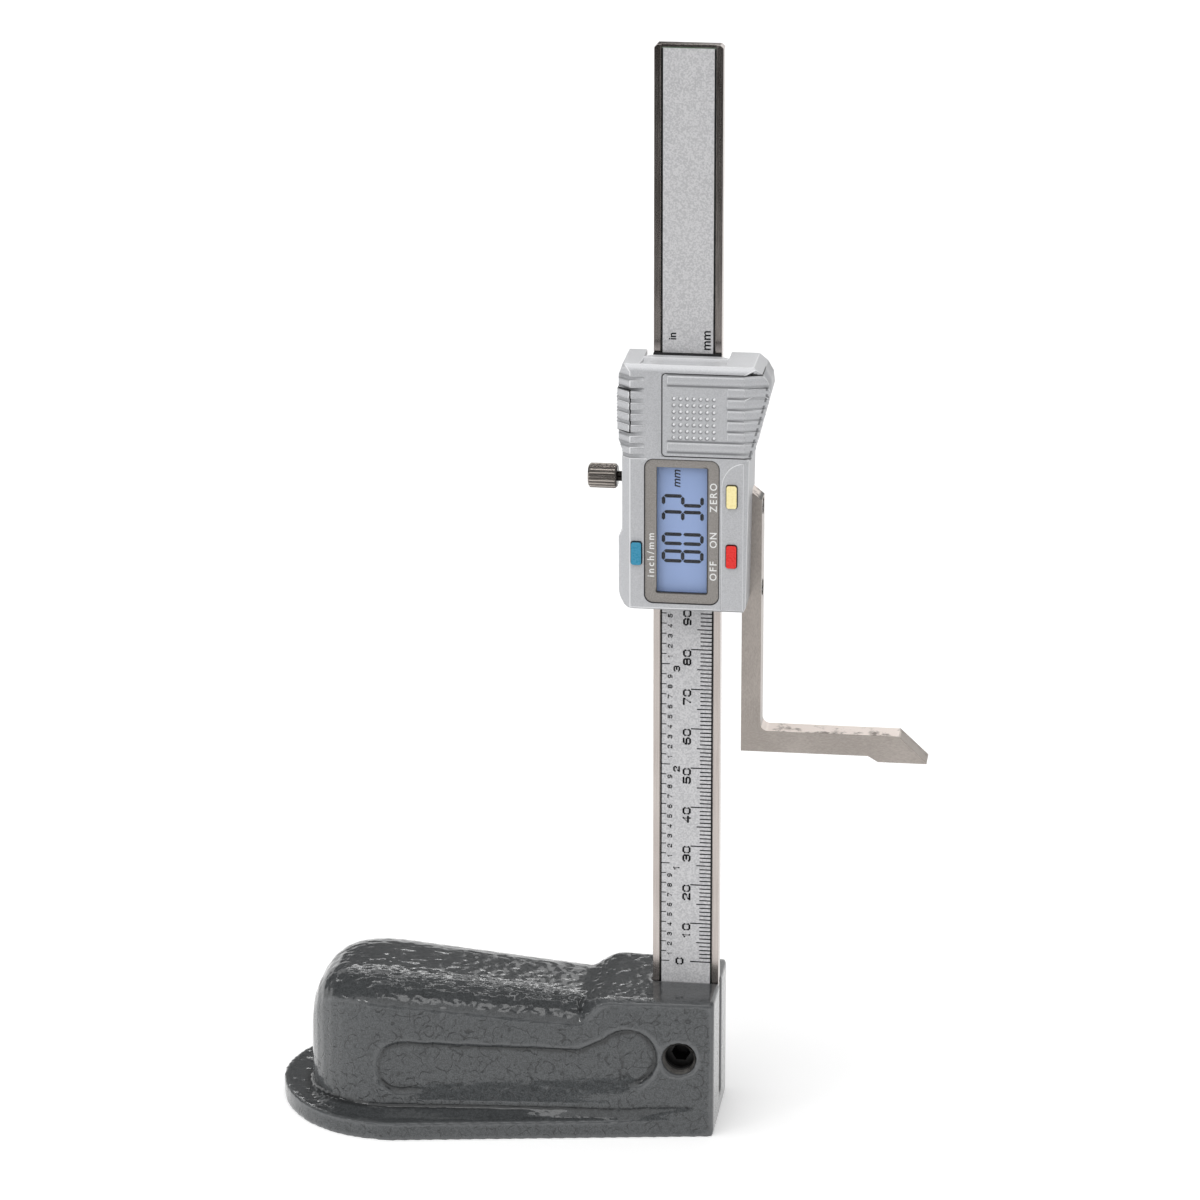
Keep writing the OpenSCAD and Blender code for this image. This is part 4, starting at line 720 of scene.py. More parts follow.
# Housing.
# An injection moulded shell coated in satin silver, with a waist and finger grooves on the left
# and a thumb wing on the right. Four long screws from the back hold it to the slide.
SILVER_PALE = (0.565, 0.57, 0.588, 1.0)
SILVER_DARK = (0.43, 0.435, 0.45, 1.0)
# The pale edge colour is a painted highlight.
SILVER_HIGHLIGHT = (0.84, 0.845, 0.86, 1.0)
SILVER_SHADE = (0.16, 0.163, 0.17, 1.0)
# The seam colour is painted shade in the gaps round the door, the port lid, the bezel and the buttons.
SEAM_SHADE = (0.012, 0.012, 0.014, 1.0)
SEAM_CORE = 0.45


def hypotenuse(tree, first, second):
    return sums(tree, "SQRT", sums(tree, "ADD", product(tree, first, first), product(tree, second, second)))


# Seam: a painted dark line of shade along a round cornered outline, as seen from the front.
seam_group, seam_in, seam_out = new_group(
    "seam_line", [("Middle", "Vector"), ("Half Size", "Vector"), ("Corner", "Float"),
                  ("Half Width", "Float")], ["Mask"])
off_middle = vectors(seam_group, "SUBTRACT", own_place(seam_group), seam_in["Middle"])
off_middle = vectors(seam_group, "ABSOLUTE", off_middle)
off_border = vectors(seam_group, "SUBTRACT", off_middle, seam_in["Half Size"])
off_border = put(seam_group, "SeparateXYZ", {0: off_border}).outputs
past_x = sums(seam_group, "ADD", off_border["X"], seam_in["Corner"])
past_z = sums(seam_group, "ADD", off_border["Z"], seam_in["Corner"])
outside = hypotenuse(seam_group, sums(seam_group, "MAXIMUM", past_x), sums(seam_group, "MAXIMUM", past_z))
inside = sums(seam_group, "MINIMUM", sums(seam_group, "MAXIMUM", past_x, past_z))
seam_off = sums(seam_group, "SUBTRACT", sums(seam_group, "ADD", outside, inside), seam_in["Corner"])
seam_core = product(seam_group, seam_in["Half Width"], SEAM_CORE)
seam_off = sums(seam_group, "ABSOLUTE", seam_off)
wire(seam_group, seam_out, {"Mask": ramp(seam_group, seam_off, seam_in["Half Width"], seam_core)})

# Outlines of what sits in the shell's front: middle X and Z, half width and height, corner, line.
SEAMS = (
    (15.31, 180.9, 20.0, 9.95, 0.9, 0.2),
    (-22.15, 181.25, 10.0, 5.1, 0.3, 0.19),
    (0.0, 152.6, 8.73, 17.53, 2.05, 0.2),
    (-10.65, 147.2, 1.27, 2.82, 0.6, 0.17),
    (11.73, 161.75, 1.27, 2.82, 0.6, 0.17),
    (11.73, 147.2, 1.27, 2.82, 0.6, 0.17),
)


def seam_line(tree, middle_x, middle_z, half_x, half_z, corner, line):
    """Mask of one seam, with its sizes in millimetres."""
    inputs = {"Middle": (middle_x * mm, 0.0, middle_z * mm), "Half Size": (half_x * mm, 0.0, half_z * mm),
              "Corner": corner * mm, "Half Width": line * mm}
    return put(tree, "Group", inputs, node_tree=seam_group).outputs["Mask"]


def from_line(tree, value, first, pitch):
    """Distance of a value to the nearest of evenly spaced lines."""
    turns = sums(tree, "DIVIDE", sums(tree, "SUBTRACT", value, first), pitch)
    part = sums(tree, "SUBTRACT", sums(tree, "FRACT", sums(tree, "ADD", turns, 0.5)), 0.5)
    return product(tree, part, pitch)


def between(tree, value, low, high, soft):
    """1 between two limits and 0 outside them, with soft ends."""
    return product(tree, ramp(tree, value, low - soft, low), ramp(tree, value, high + soft, high))


RIB_PITCH = 2.67 * mm
GROOVE_Z = 170.7 * mm
GROOVE_HALF = 0.5 * mm
GROOVES_Z = (170.0 * mm, 190.0 * mm)
GROOVE_END_X = (-8.2 * mm, -10.2 * mm)
RIDGE_Z = 172.0 * mm
RIDGES_Z = (171.6 * mm, 190.8 * mm)
RIDGE_START_X = (10.2 * mm, 10.8 * mm)
RIDGE_FADE_X = (12.0 * mm, 17.0 * mm)
LONG_RIDGE_X = (-3.8 * mm, -3.2 * mm)
LOW_ROWS_Z = (175.8 * mm, 175.4 * mm)
HIGH_ROWS_Z = (187.2 * mm, 187.6 * mm)
DOT_PITCH = 1.56 * mm
DOT_X = -1.88 * mm
DOT_Z = 175.62 * mm
DOTS_X = (-2.6 * mm, 8.2 * mm)
DOTS_Z = (174.9 * mm, 185.7 * mm)
DOT_FACE_Y = (-12.6 * mm, -12.8 * mm)
WING_LOW_X = 16.3 * mm
WING_LOW_Z = 171.2 * mm
WING_WIDE_X = 20.1 * mm
WING_SLOPE = 0.26
WING_LINE_IN = 0.6 * mm
WING_LINE_Z = (171.6 * mm, 187.5 * mm)
# How far from the front the shade of the small shapes and the seams reach.
SHADE_Y = (-8.0 * mm, -9.0 * mm)
SEAM_Y = (-3.0 * mm, -5.0 * mm)


def groove_shade(tree, at_x, at_z):
    """Grey in the finger grooves on the left, darkest along their rims."""
    off = sums(tree, "ABSOLUTE", from_line(tree, at_z, GROOVE_Z, RIB_PITCH))
    off_rim = sums(tree, "ABSOLUTE", sums(tree, "SUBTRACT", off, GROOVE_HALF))
    bed = product(tree, ramp(tree, off, 0.62 * mm, 0.42 * mm), 0.5)
    shade = sums(tree, "MAXIMUM", ramp(tree, off_rim, 0.3 * mm, 0.06 * mm), bed)
    return product(tree, shade, ramp(tree, at_x, *GROOVE_END_X), between(tree, at_z, *GROOVES_Z, 0.3 * mm),
                   0.55)


def ridge_shade(tree, at_x, at_z):
    """Dark gaps between the door's ridges, and a broken dark line along the edge of its wing."""
    off = sums(tree, "ABSOLUTE", from_line(tree, at_z, RIDGE_Z, RIB_PITCH))
    full_rows = sums(tree, "MAXIMUM", ramp(tree, at_z, *LOW_ROWS_Z), ramp(tree, at_z, *HIGH_ROWS_Z))
    long_run = product(tree, ramp(tree, at_x, *LONG_RIDGE_X), full_rows)
    run = sums(tree, "MAXIMUM", ramp(tree, at_x, *RIDGE_START_X), long_run)
    fade = spread(tree, at_x, 0.8, 0.24, *RIDGE_FADE_X)
    gaps = product(tree, ramp(tree, off, 0.42 * mm, 0.12 * mm), run, fade,
                   between(tree, at_z, *RIDGES_Z, 0.4 * mm))
    edge = product(tree, sums(tree, "SUBTRACT", at_z, WING_LOW_Z), WING_SLOPE)
    edge = sums(tree, "MINIMUM", sums(tree, "ADD", edge, WING_LOW_X), WING_WIDE_X)
    beside = sums(tree, "ABSOLUTE", sums(tree, "ADD", sums(tree, "SUBTRACT", at_x, edge), WING_LINE_IN))
    line = product(tree, ramp(tree, beside, 0.34 * mm, 0.14 * mm), ramp(tree, off, 1.1 * mm, 0.8 * mm),
                   between(tree, at_z, *WING_LINE_Z, 0.6 * mm), 0.9)
    return sums(tree, "MAXIMUM", gaps, line)


def dot_spots(tree, at_x, at_y, at_z, shift, outer, inner):
    """A round mask at each grip dot, moved up and right by a small shift."""
    across = sums(tree, "SUBTRACT", from_line(tree, at_x, DOT_X, DOT_PITCH), shift)
    along = sums(tree, "SUBTRACT", from_line(tree, at_z, DOT_Z, DOT_PITCH), shift)
    return product(tree, ramp(tree, hypotenuse(tree, across, along), outer, inner),
                   between(tree, at_x, *DOTS_X, 0.1 * mm), between(tree, at_z, *DOTS_Z, 0.1 * mm),
                   ramp(tree, at_y, *DOT_FACE_Y))


def silver_coat(name, door):
    """The satin silver coat, with painted highlights on edges, tops and dots, and painted shade where small
    shapes hold shadow.
    """
    finish, tree, shader = new_finish(name)
    at_x, at_y, at_z = axes(tree, "Object")
    facing = axes(tree, "Normal")["Z"]
    flake = grain(tree, 4500.0, 3.0)
    # On the door, painted shadows beside the grip dots and painted highlights on their tops.
    if door:
        dot_shadows = dot_spots(tree, at_x, at_y, at_z, -0.1 * mm, 0.6 * mm, 0.4 * mm)
        shade = sums(tree, "MAXIMUM", ridge_shade(tree, at_x, at_z), product(tree, dot_shadows, 0.6))
        glints = [(dot_spots(tree, at_x, at_y, at_z, 0.05 * mm, 0.4 * mm, 0.22 * mm), 1.0, SILVER_HIGHLIGHT)]
    else:
        shade = groove_shade(tree, at_x, at_z)
        glints = []
    shade = product(tree, shade, ramp(tree, at_y, *SHADE_Y))
    # Faces that look down get painted shade; upper faces and rounded edges get painted highlights.
    under = product(tree, ramp(tree, facing, -0.15, -0.6), 0.5)
    # Painted shade along the seams.
    seam = 0.0
    for outline in SEAMS:
        seam = sums(tree, "MAXIMUM", seam, seam_line(tree, *outline))
    seam = product(tree, seam, ramp(tree, at_y, *SEAM_Y))
    tone = blend_colour(tree, ramp(tree, flake, 0.3, 0.7), SILVER_DARK, SILVER_PALE)
    tone = layers(tree, tone, (grain(tree, 70.0, 2.0), 0.5, SILVER_PALE),
                  (ramp(tree, facing, 0.2, 0.6), 0.4, SILVER_HIGHLIGHT),
                  (sums(tree, "MAXIMUM", shade, under), 1.0, SILVER_SHADE),
                  (marked(tree, "edge"), 0.75, SILVER_HIGHLIGHT), *glints, (seam, 0.92, SEAM_SHADE))
    relief = bump(tree, (flake, 0.008 * mm), (sums(tree, "MAXIMUM", seam, shade), -0.05 * mm))
    wire(tree, shader, {"Base Color": tone, "Metallic": 0.2, "Roughness": spread(tree, flake, 0.32, 0.44),
                        "Normal": relief})
    return finish


SHELL_EDGE = 0.16 * mm
DOOR_EDGE = 0.1 * mm
DOOR_SHARP = 40.0
LID_EDGE = 0.12 * mm
SHORT_EDGE = 0.5 * mm
# The shell's outer walls, lowest and highest X and Z, and how far its rounded front reaches back.
OUTER_X = (-14.2 * mm, 15.2 * mm)
OUTER_Z = (134.0 * mm, 191.0 * mm)
FRONT_Y = -11.9 * mm
RECESS_HALF_X = 8.8 * mm
RECESS_Z = (135.0 * mm, 170.2 * mm)
RECESS_Y = -12.6 * mm
BAY_X = -5.0 * mm
BAY_Z = (170.6 * mm, 191.1 * mm)


def is_long_edge(edge):
    return edge.is_convex and edge.calc_length() > SHORT_EDGE


def is_moulded_edge(edge):
    """True for the shell's long outer edges, apart from those in the display's recess and the door's bay."""
    x, y, z = (edge.verts[0].co + edge.verts[1].co) / 2
    inner = y >= FRONT_Y and OUTER_X[0] <= x <= OUTER_X[1] and OUTER_Z[0] <= z <= OUTER_Z[1]
    in_recess = abs(x) < RECESS_HALF_X and RECESS_Z[0] < z < RECESS_Z[1] and y > RECESS_Y
    by_door = x > BAY_X and BAY_Z[0] < z < BAY_Z[1]
    return is_long_edge(edge) and not (inner or in_recess or by_door)


silver = silver_coat("silver_coat", door=False)
door_silver = silver_coat("door_silver_coat", door=True)
dress("housing", "silver_housing", "slider", silver, SHELL_EDGE, keep=is_moulded_edge,
      clamp=False)
dress("battery_cover", "battery_door", "battery_cover", door_silver, DOOR_EDGE,
      sharp=DOOR_SHARP, keep=is_long_edge, clamp=False)
dress("port_cover", "port_lid", "port_cover", silver, LID_EDGE, keep=is_long_edge,
      clamp=False)

# Finger ribs moulded on the port lid's side.
LID_RIBS = 9
LID_RIB_Z = 177.9 * mm
LID_RIB_PITCH = 0.83 * mm
LID_RIB_H = 0.45 * mm
LID_RIB_OUT = 0.22 * mm
LID_RIB_IN = 0.05 * mm
LID_RIB_Y = (-9.6 * mm, -4.2 * mm)
LID_RIB_EDGE = 0.1 * mm
lid_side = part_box("port_cover")[0].x
rib_shape = bmesh.new()
for step in range(LID_RIBS):
    low_z = LID_RIB_Z + step * LID_RIB_PITCH
    bar(rib_shape, (lid_side - LID_RIB_OUT, LID_RIB_Y[0], low_z),
        (lid_side + LID_RIB_IN, LID_RIB_Y[1], low_z + LID_RIB_H))
round_edges(rib_shape, rib_shape.edges[:], LID_RIB_EDGE)
lid_ribs = show_shape(rib_shape, "port_lid_ribs", silver)
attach(lid_ribs, "port_cover")

# Shade strip: a black strip in the shell's upper mouth, a dark piece that stands in for the shade in the gap
# between the lip and the beam's face.
SHADE_STRIP_LOW = Vector((-8.0, -2.85, 189.5)) * mm
SHADE_STRIP_HIGH = Vector((8.0, -2.0, 193.0)) * mm
SHADE_STRIP_EDGE = 0.15 * mm
SHADE_STRIP_DARK = (0.003, 0.003, 0.003, 1.0)
SHADE_STRIP_PALE = (0.011, 0.011, 0.012, 1.0)
rubber = grained("shade_strip_rubber", 2200.0, 3.0, SHADE_STRIP_DARK, SHADE_STRIP_PALE, (0.7, 0.7), 0.03 * mm)
shade_strip_shape = bmesh.new()
bar(shade_strip_shape, SHADE_STRIP_LOW, SHADE_STRIP_HIGH)
round_edges(shade_strip_shape, shade_strip_shape.edges[:], SHADE_STRIP_EDGE)
shade_strip = show_shape(shade_strip_shape, "beam_shade_strip", rubber)
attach(shade_strip, "slider")

# Display.
# A thin grey film frame round a clear window, with the liquid crystal panel behind it in its
# holder. The figures are black segments that read up the beam.
FILM_DARK = (0.225, 0.208, 0.194, 1.0)
FILM_PALE = (0.315, 0.296, 0.278, 1.0)
FILM_SHADE = (0.006, 0.006, 0.007, 1.0)
FILM_RIM = (0.0, 152.95, 6.0, 15.35, 0.5, 0.3)
RIM_RIGHT_X = (4.5 * mm, 5.8 * mm)
RIM_LOW_Z = (139.0 * mm, 137.8 * mm)
FILM_EDGE = 0.12 * mm
WINDOW_TINT = (0.3, 0.33, 0.36, 1.0)
CRYSTAL_BLUE = (0.3, 0.41, 0.69, 1.0)
CRYSTAL_PALE = (0.36, 0.475, 0.77, 1.0)
CRYSTAL_DOT = (0.2, 0.28, 0.5, 1.0)
SEGMENT_DARK = (0.001, 0.001, 0.003, 1.0)
SEGMENT_PALE = (0.003, 0.003, 0.008, 1.0)
LEGEND_DARK = (0.74, 0.74, 0.73, 1.0)
LEGEND_PALE = (0.86, 0.86, 0.85, 1.0)
film, tree, shader = new_finish("bezel_film")
place = axes(tree, "Object")
grit = grain(tree, 3600.0, 3.0)
# The film's walls are painted nearly black as shade, and so is the rim they shade on the right and below.
low_right = sums(tree, "MAXIMUM", ramp(tree, place["X"], *RIM_RIGHT_X), ramp(tree, place["Z"], *RIM_LOW_Z))
shaded_rim = product(tree, seam_line(tree, *FILM_RIM), low_right, 0.85)
wall_and_rim_shade = sums(tree, "MAXIMUM", ramp(tree, axes(tree, "Normal")["Y"], -0.93, -0.6), shaded_rim)
tone = blend_colour(tree, ramp(tree, grit, 0.32, 0.68), FILM_DARK, FILM_PALE)
wire(tree, shader, {"Base Color": blend_colour(tree, wall_and_rim_shade, tone, FILM_SHADE), "Roughness": 0.5,
                    "Normal": bump(tree, (grit, 0.015 * mm))})
dress("display_bezel", "bezel_frame", "slider", film, FILM_EDGE)

window, tree, shader = new_finish("clear_window")
wire(tree, shader, {"Base Color": WINDOW_TINT, "Alpha": 0.03,
                    "Roughness": spread(tree, grain(tree, 150.0, 3.0), 0.04, 0.12)})
coat(window, "display_window")
crystal, tree, shader = new_finish("crystal_panel")
tone = blend_colour(tree, grain(tree, 60.0, 2.0), CRYSTAL_BLUE, CRYSTAL_PALE)
tone = layers(tree, tone, (grain(tree, 7000.0, 1.0), 0.2, CRYSTAL_DOT))
wire(tree, shader, {"Base Color": tone, "Roughness": 0.35})
coat(crystal, "lcd_panel")

LCD_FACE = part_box("lcd_panel")[0].y
SEGMENT_PEN = 0.84 * mm
SEGMENT_SLIT = 0.1 * mm
FIGURE_TOP_X = -4.95 * mm
FIGURE_FOOT_X = 4.95 * mm
LCD_SLANT = 0.2
LCD_BOLD = 0.04 * mm
# The unit's size, foot X and start Z in millimetres.
LCD_UNIT = (2.85, -0.6, 162.8)
LIT = {"8": "abcdefg", "0": "abcdef", "3": "abcdg", "2": "abdeg"}
# Each segment's run between left or right and top, middle or bottom.
RUNS = {"a": "ltrt", "b": "rtrm", "c": "rmrb", "d": "lbrb", "e": "lmlb", "f": "ltlm", "g": "lmrm"}


def seven_segments(shape, figure, left_z, right_z):
    """One figure of mitred segments; its top looks to the left and it reads upwards."""
    half = SEGMENT_PEN / 2
    u = {"l": left_z + half, "r": right_z - half}
    v = {"t": FIGURE_TOP_X + half, "m": (FIGURE_TOP_X + FIGURE_FOOT_X) / 2, "b": FIGURE_FOOT_X - half}
    for name in LIT[figure]:
        u0, v0, u1, v1 = RUNS[name]
        first = Vector((v[v0], LCD_FACE, u[u0]))
        last = Vector((v[v1], LCD_FACE, u[u1]))
        along = (last - first).normalized()
        first, last = first + along * SEGMENT_SLIT, last - along * SEGMENT_SLIT
        across = along.cross(Vector((0, 1, 0))) * half
        inset = along * half
        corners = [first, first + inset + across, last - inset + across, last, last - inset - across,
                   first + inset - across]
        patch = shape.faces.new([shape.verts.new(corner) for corner in corners])
        grown = bmesh.ops.extrude_face_region(shape, geom=[patch])
        raised = [item for item in grown["geom"] if isinstance(item, bmesh.types.BMVert)]
        bmesh.ops.translate(shape, verts=raised, vec=(0, -PRINT_T, 0))


segment_ink = grained("lcd_segment", 400.0, 1.0, SEGMENT_DARK, SEGMENT_PALE, (0.4, 0.4))
segment_shape = bmesh.new()
# Each figure with its lower and upper Z.
for figure, low, high in (("8", 144.5, 147.7), ("0", 148.75, 151.85), ("3", 154.3, 157.3),
                          ("2", 158.1, 161.2)):
    seven_segments(segment_shape, figure, low * mm, high * mm)
bmesh.ops.recalc_face_normals(segment_shape, faces=segment_shape.faces)
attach(show_shape(segment_shape, "lcd_figures", segment_ink), "slider")
lettering("lcd_unit", "mm", *LCD_UNIT, LCD_FACE, segment_ink, "slider", slant=LCD_SLANT, bold=LCD_BOLD)

LEGEND_SIZE = 2.35
LEGEND_BOLD = 0.03 * mm
BEZEL_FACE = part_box("display_bezel")[0].y
legend_ink = grained("legend_ink", 3000.0, 2.0, LEGEND_DARK, LEGEND_PALE, (0.5, 0.5))
# Each legend's name, word, foot X, start Z and letter spacing.
for name, words, foot, start, spacing in (("units_legend", "inch/mm", -6.5, 141.3, 1.38),
                                          ("zero_legend", "ZERO", 8.2, 157.7, 1.3),
                                          ("on_legend", "ON", 8.2, 148.9, 1.15),
                                          ("off_legend", "OFF", 8.2, 140.9, 1.28)):
    lettering(name, words, LEGEND_SIZE, foot, start, BEZEL_FACE, legend_ink, "slider", spacing=spacing,
              bold=LEGEND_BOLD)

# Pieces inside the head.
# A white moulded holder, layered rubber connectors, a black chip and switches, and the button
# cell, all out of sight on the board until the battery door is drawn.
CELL_DARK = (0.5, 0.5, 0.51, 1.0)
CELL_PALE = (0.68, 0.68, 0.7, 1.0)
CELL_EDGE = 0.25 * mm
for name, dark, pale, rough, nodes in (
        ("white_moulding", (0.6, 0.6, 0.58, 1.0), (0.75, 0.75, 0.73, 1.0), 0.5, ["lcd_holder"]),
        ("black_moulding", (0.006, 0.006, 0.006, 1.0), (0.016, 0.016, 0.016, 1.0), 0.45,
         ["controller_chip", "tact_switches"]),
        ("layered_rubber", (0.5, 0.26, 0.24, 1.0), (0.62, 0.36, 0.33, 1.0), 0.6, ["zebra_strips"])):
    coat(grained(name, 2500.0, 2.0, dark, pale, (rough, rough), 0.01 * mm), *nodes)
cell_can = ground_steel("cell_can", (1.0, 1.0, 1.0), CELL_DARK, CELL_PALE, 0.22, 0.002 * mm)
dress("battery_cell", "button_cell", "slider", cell_can, CELL_EDGE, segments=3)

# Buttons.
# Three small caps of coloured glossy plastic, each in its own opening over a switch. Their sides
# are darker, because light hardly reaches them.
CAP_EDGE = 0.3 * mm
SIDE_SHADE = 0.22
for node, name, slot, dark, pale in (
        ("button_inch_mm", "blue_button", "button_blue", (0.02, 0.225, 0.365, 1.0), (0.045, 0.31, 0.49, 1.0)),
        ("button_zero", "yellow_button", "button_yellow", (0.95, 0.8, 0.34, 1.0), (1.0, 0.9, 0.52, 1.0)),
        ("button_power", "red_button", "button_red", (0.7, 0.012, 0.01, 1.0), (0.86, 0.03, 0.022, 1.0))):
    plastic = grained(name + "_plastic", 1800.0, 2.0, dark, pale, (0.22, 0.34), 0.004 * mm)
    tree = plastic.node_tree
    shaded = [SIDE_SHADE * channel for channel in dark[:3]] + [1.0]
    top_coat(plastic, ramp(tree, axes(tree, "Normal")["Y"], -0.85, -0.2), shaded)
    dress(node, name, node, plastic, CAP_EDGE, segments=3)

# Lock screw.
# A nickel plated thumb screw with straight flutes, turned through the housing into the left
# rail, where it presses the gib strip against the beam. Its thread is darker, and the roots of its flutes are
# painted dark as shade.
NECK_X = (-16.85 * mm, -16.75 * mm)
END_X = (-23.3 * mm, -23.5 * mm)
LOCK_Z = 161.9 * mm
FLUTE_ROOT_R = 2.68 * mm
FLUTE_CREST_R = 2.9 * mm
LOCK_EDGE = 0.08 * mm
NICKEL_DARK = (0.2, 0.178, 0.158, 1.0)
NICKEL_PALE = (0.52, 0.475, 0.435, 1.0)
THREAD_AND_SHADE_DARK = (0.02, 0.018, 0.016, 1.0)
nickel = ground_steel("nickel_plate", (0.05, 1.0, 1.0), NICKEL_DARK, NICKEL_PALE, 0.22, 0.003 * mm, wear=0.9)
tree = nickel.node_tree
at_x, at_y, at_z = axes(tree, "Object")
radius = hypotenuse(tree, sums(tree, "SUBTRACT", at_z, LOCK_Z), at_y)
off_end = sums(tree, "SUBTRACT", 1.0, ramp(tree, at_x, *END_X))
# The roots of the flutes are painted dark as shade.
flute_shade = product(tree, ramp(tree, radius, FLUTE_CREST_R, FLUTE_ROOT_R), off_end, 0.75)
top_coat(nickel, sums(tree, "MAXIMUM", ramp(tree, at_x, *NECK_X), flute_shade), THREAD_AND_SHADE_DARK)
dress("lock_screw", "thumb_screw", "lock_screw", nickel, LOCK_EDGE)

# Scriber.
# A bent bar of hardened tool steel with ground faces and a sharpened point, held against the
# slide's right rail by two screws whose heads are sunk in its side. Its upper faces are painted
# lighter as painted light from above and carry smudges from handling.
TOOL_DARK = (0.36, 0.325, 0.298, 1.0)
TOOL_PALE = (0.475, 0.43, 0.397, 1.0)
TOOL_LIT_TOP = (0.74, 0.66, 0.61, 1.0)
TOOL_SMUDGE_AND_SHADE = (0.2, 0.17, 0.145, 1.0)
TOOL_FINENESS = 5500.0
TOOL_EDGE = 0.16 * mm
TOOL_SCREW_EDGE = 0.12 * mm
UPRIGHT_Z = (99.5 * mm, 102.5 * mm)
SLANT_X = (50.8 * mm, 51.4 * mm)
SINK_OUTER_X = (17.76 * mm, 17.7 * mm)
SINK_INNER_X = (15.2 * mm, 15.6 * mm)
SINK_LOW_Z = (130.0 * mm, 131.0 * mm)
SINK_HIGH_Z = (159.0 * mm, 158.4 * mm)
tool_steel, tree, shader = new_finish("tool_steel")
at_x, _, at_z = axes(tree, "Object")
facing = axes(tree, "Normal")
on_upright = ramp(tree, at_z, *UPRIGHT_Z)
lines, height = [put(tree, "Mix", {0: on_upright, 2: on_blade, 3: on_stem}, data_type="FLOAT").outputs[0]
                 for on_blade, on_stem in zip(ground_lines(tree, (0.3, 1.0, 1.0), TOOL_FINENESS),
                                              ground_lines(tree, (1.0, 1.0, 0.3), TOOL_FINENESS))]
smudge = grain(tree, 190.0, 4.0, Roughness=0.65)
upward = ramp(tree, facing["Z"], 0.3, 0.6)
# The point's slanted end is darker from grinding; the screws' sinks are painted dark as shade.
burnt = product(tree, ramp(tree, at_x, *SLANT_X), upward, spread(tree, smudge, 0.65, 1.0))
inner_wall = ramp(tree, sums(tree, "ABSOLUTE", facing["Y"]), 0.97, 0.9)
sunk = product(tree, ramp(tree, at_x, *SINK_OUTER_X), ramp(tree, at_x, *SINK_INNER_X), inner_wall,
               ramp(tree, at_z, *SINK_LOW_Z), ramp(tree, at_z, *SINK_HIGH_Z))
lit_top = blend_colour(tree, ramp(tree, smudge, 0.5, 0.64), TOOL_LIT_TOP, TOOL_SMUDGE_AND_SHADE)
tone = blend_colour(tree, ramp(tree, lines, 0.34, 0.66), TOOL_DARK, TOOL_PALE)
# Upper faces get painted light, and rounded edges a painted dark line of shade.
tone = layers(tree, tone, (upward, 1.0, lit_top), (burnt, 1.0, TOOL_SMUDGE_AND_SHADE), (sunk, 0.95, THREAD_AND_SHADE_DARK),
              (marked(tree, "edge"), 0.75, TOOL_SMUDGE_AND_SHADE))
wire(tree, shader, {"Base Color": tone, "Metallic": 1.0, "Roughness": spread(tree, smudge, 0.24, 0.42),
                    "Normal": bump(tree, (height, 0.004 * mm))})
dress("scriber", "ground_scriber", "slider", tool_steel, TOOL_EDGE)
dress("scriber_screws", "scriber_fixing_screws", "slider", black_oxide, TOOL_SCREW_EDGE)

# Studio.
# A white floor that runs far back under soft light from the front and above. Thin strip lamps
# glint on the wrinkled paint, and sheets of black felt, seen only as reflections, keep the steel
# and the flat paint from washing out.
FLOOR_HALF = 6.0
FLOOR_COLOUR = (0.8, 0.8, 0.8, 1.0)
FLOOR_LIFT = 0.355
SKY_LIGHT = 0.32
WHITE = (1.0, 1.0, 1.0, 1.0)
FELT_DARK = (0.01, 0.01, 0.01, 1.0)
FELT_PALE = (0.03, 0.03, 0.03, 1.0)
OBJECT_MIDDLE = (0.0, 0.0, 0.12)
KEY_PLACE = (-0.35, -0.9, 1.15)
KEY_ANGLE = 95
KEY_SHARE = 0.62


def seen_rays(tree):
    """1 for the rays that show the surroundings to the camera, to metal and through glass."""
    path = put(tree, "LightPath", {}).outputs
    seen = sums(tree, "MAXIMUM", path["Is Camera Ray"], path["Is Glossy Ray"])
    return sums(tree, "MAXIMUM", seen, path["Is Transmission Ray"])


def stage_sheet(name, corners, finish):
    """A flat sheet between four corners that belongs to the studio."""
    shape = bmesh.new()
    shape.faces.new([shape.verts.new(corner) for corner in corners])
    sheet = show_shape(shape, name, finish)
    sheet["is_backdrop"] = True
    return sheet


floor_finish, tree, shader = new_finish("floor_white")
tree.nodes.remove(shader)
matte = put(tree, "BsdfDiffuse", {"Color": FLOOR_COLOUR})
lift = put(tree, "Emission", {"Strength": product(tree, seen_rays(tree), FLOOR_LIFT)})
both = put(tree, "AddShader", {0: matte.outputs[0], 1: lift.outputs[0]})
tree.links.new(both.outputs[0], tree.nodes["Material Output"].inputs["Surface"])
stage_sheet("studio_floor", [(-FLOOR_HALF, -FLOOR_HALF, 0.0), (FLOOR_HALF, -FLOOR_HALF, 0.0),
                             (FLOOR_HALF, FLOOR_HALF, 0.0), (-FLOOR_HALF, FLOOR_HALF, 0.0)], floor_finish)

world = bpy.data.worlds.new("studio_light")
world.use_nodes = True
scene.world = world
sky = world.node_tree
wire(sky, sky.nodes["Background"], {"Color": WHITE, "Strength": spread(sky, seen_rays(sky), SKY_LIGHT, 1.0)})


def aim(lamp, place):
    """Puts a lamp at a place and turns it to the object."""
    lamp.location = place
    lamp.rotation_euler = (Vector(OBJECT_MIDDLE) - Vector(place)).to_track_quat("-Z", "Y").to_euler()
    scene.collection.objects.link(lamp)


key_data = bpy.data.lights.new("key_light", "SUN")
key_data.angle = math.radians(KEY_ANGLE)
key_data.energy = KEY_SHARE * math.pi
key_light = bpy.data.objects.new("key_light", key_data)
key_light.visible_glossy = False
aim(key_light, KEY_PLACE)

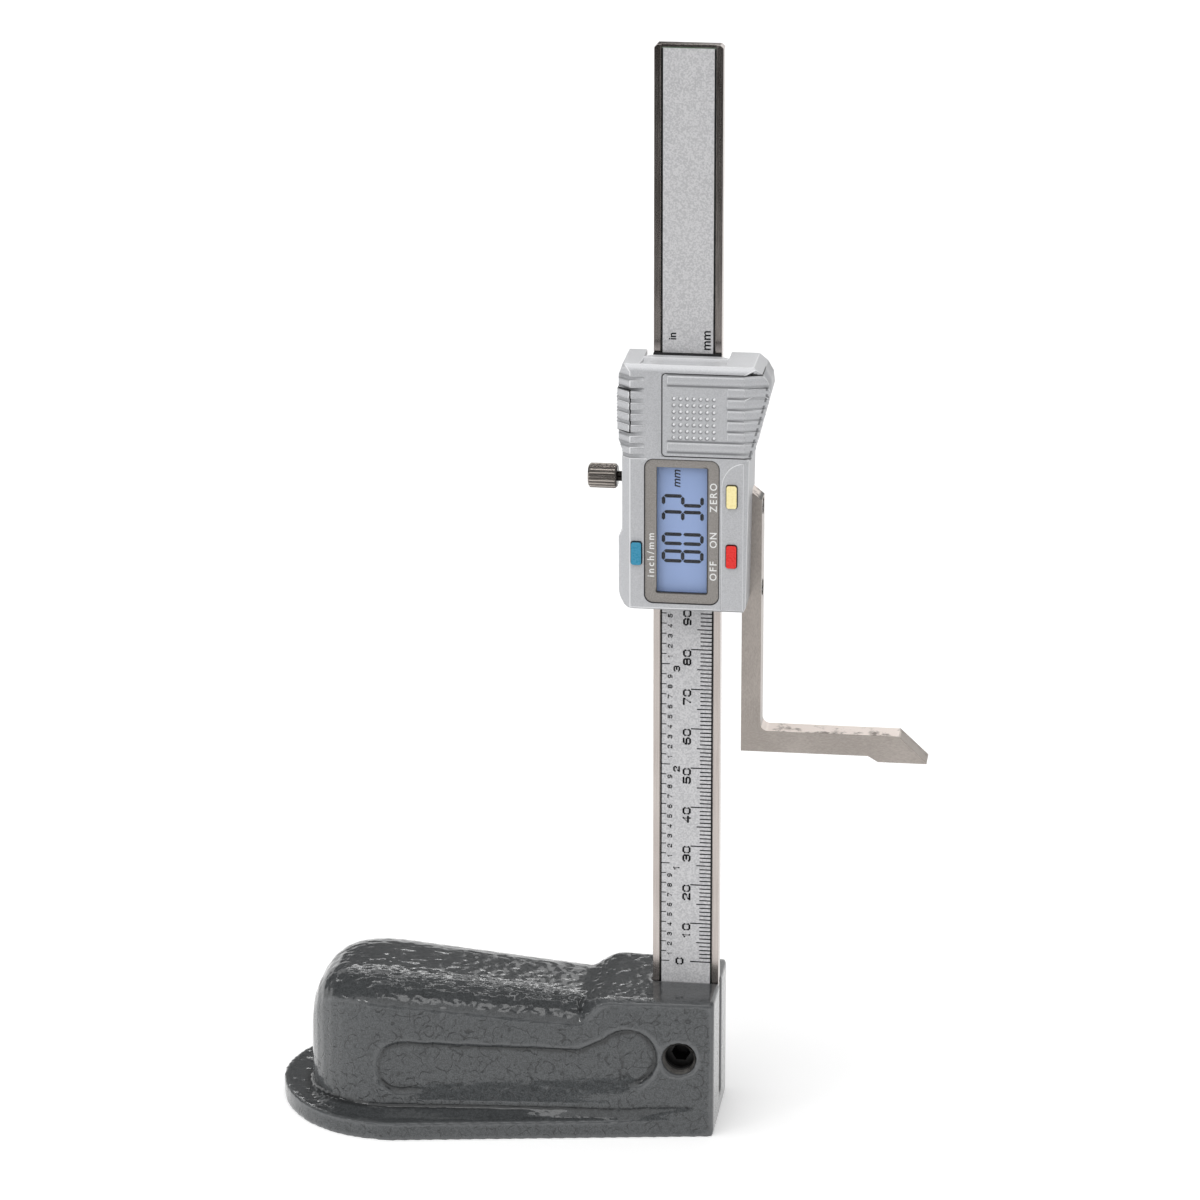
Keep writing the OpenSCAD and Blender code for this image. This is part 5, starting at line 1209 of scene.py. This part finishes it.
# Flat lamps: place, width, height and the share of full light that each gives to a face turned to it.
for name, place, wide, high, share in (
        ("top_box", (-0.1, -0.5, 1.4), 0.3, 0.3, 0.05),
        ("left_box", (-0.75, -0.8, 0.85), 0.16, 0.16, 0.05),
        ("low_strip", (-0.3, 1.7, 1.12), 1.2, 0.06, 0.036),
        ("middle_strip", (-0.3, 1.45, 1.45), 1.2, 0.06, 0.036),
        ("high_strip", (-0.3, 0.95, 1.75), 1.2, 0.06, 0.036),
        ("over_strip", (-0.3, 0.35, 1.9), 1.2, 0.06, 0.036),
        ("side_strip", (-1.4, 0.6, 1.1), 0.6, 0.06, 0.02),
        ("edge_box", (-1.4, -0.45, 0.8), 0.1, 0.3, 0.02)):
    lamp = bpy.data.lights.new(name, "AREA")
    lamp.shape = "RECTANGLE"
    lamp.size = wide
    lamp.size_y = high
    lamp.energy = share * (math.pi * (Vector(place) - Vector(OBJECT_MIDDLE)).length) ** 2
    aim(bpy.data.objects.new(name, lamp), place)

felt_finish = grained("black_felt", 300.0, 2.0, FELT_DARK, FELT_PALE, (0.9, 0.9))
for name, corners in (
        ("front_felt", [(-1.4, -2.2, 0.002), (1.4, -2.2, 0.002), (1.4, -0.62, 0.002), (-1.4, -0.62, 0.002)]),
        ("standing_felt", [(-1.4, -2.2, 0.0), (1.4, -2.2, 0.0), (1.4, -2.2, 0.9), (-1.4, -2.2, 0.9)]),
        ("back_felt", [(-1.4, 1.6, 0.35), (-0.16, 1.6, 0.35), (-0.16, 1.6, 1.0), (-1.4, 1.6, 1.0)]),
        ("ceiling_felt", [(-2.0, -0.9, 2.0), (2.0, -0.9, 2.0), (2.0, 2.4, 2.0), (-2.0, 2.4, 2.0)]),
        ("left_felt", [(-1.6, -0.9, 0.3), (-1.6, 1.6, 0.3), (-1.6, 1.6, 2.0), (-1.6, -0.9, 2.0)])):
    felt = stage_sheet(name, corners, felt_finish)
    felt.visible_camera = False
    felt.visible_diffuse = False
    felt.visible_shadow = False
scene.view_settings.view_transform = "Standard"

low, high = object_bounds()
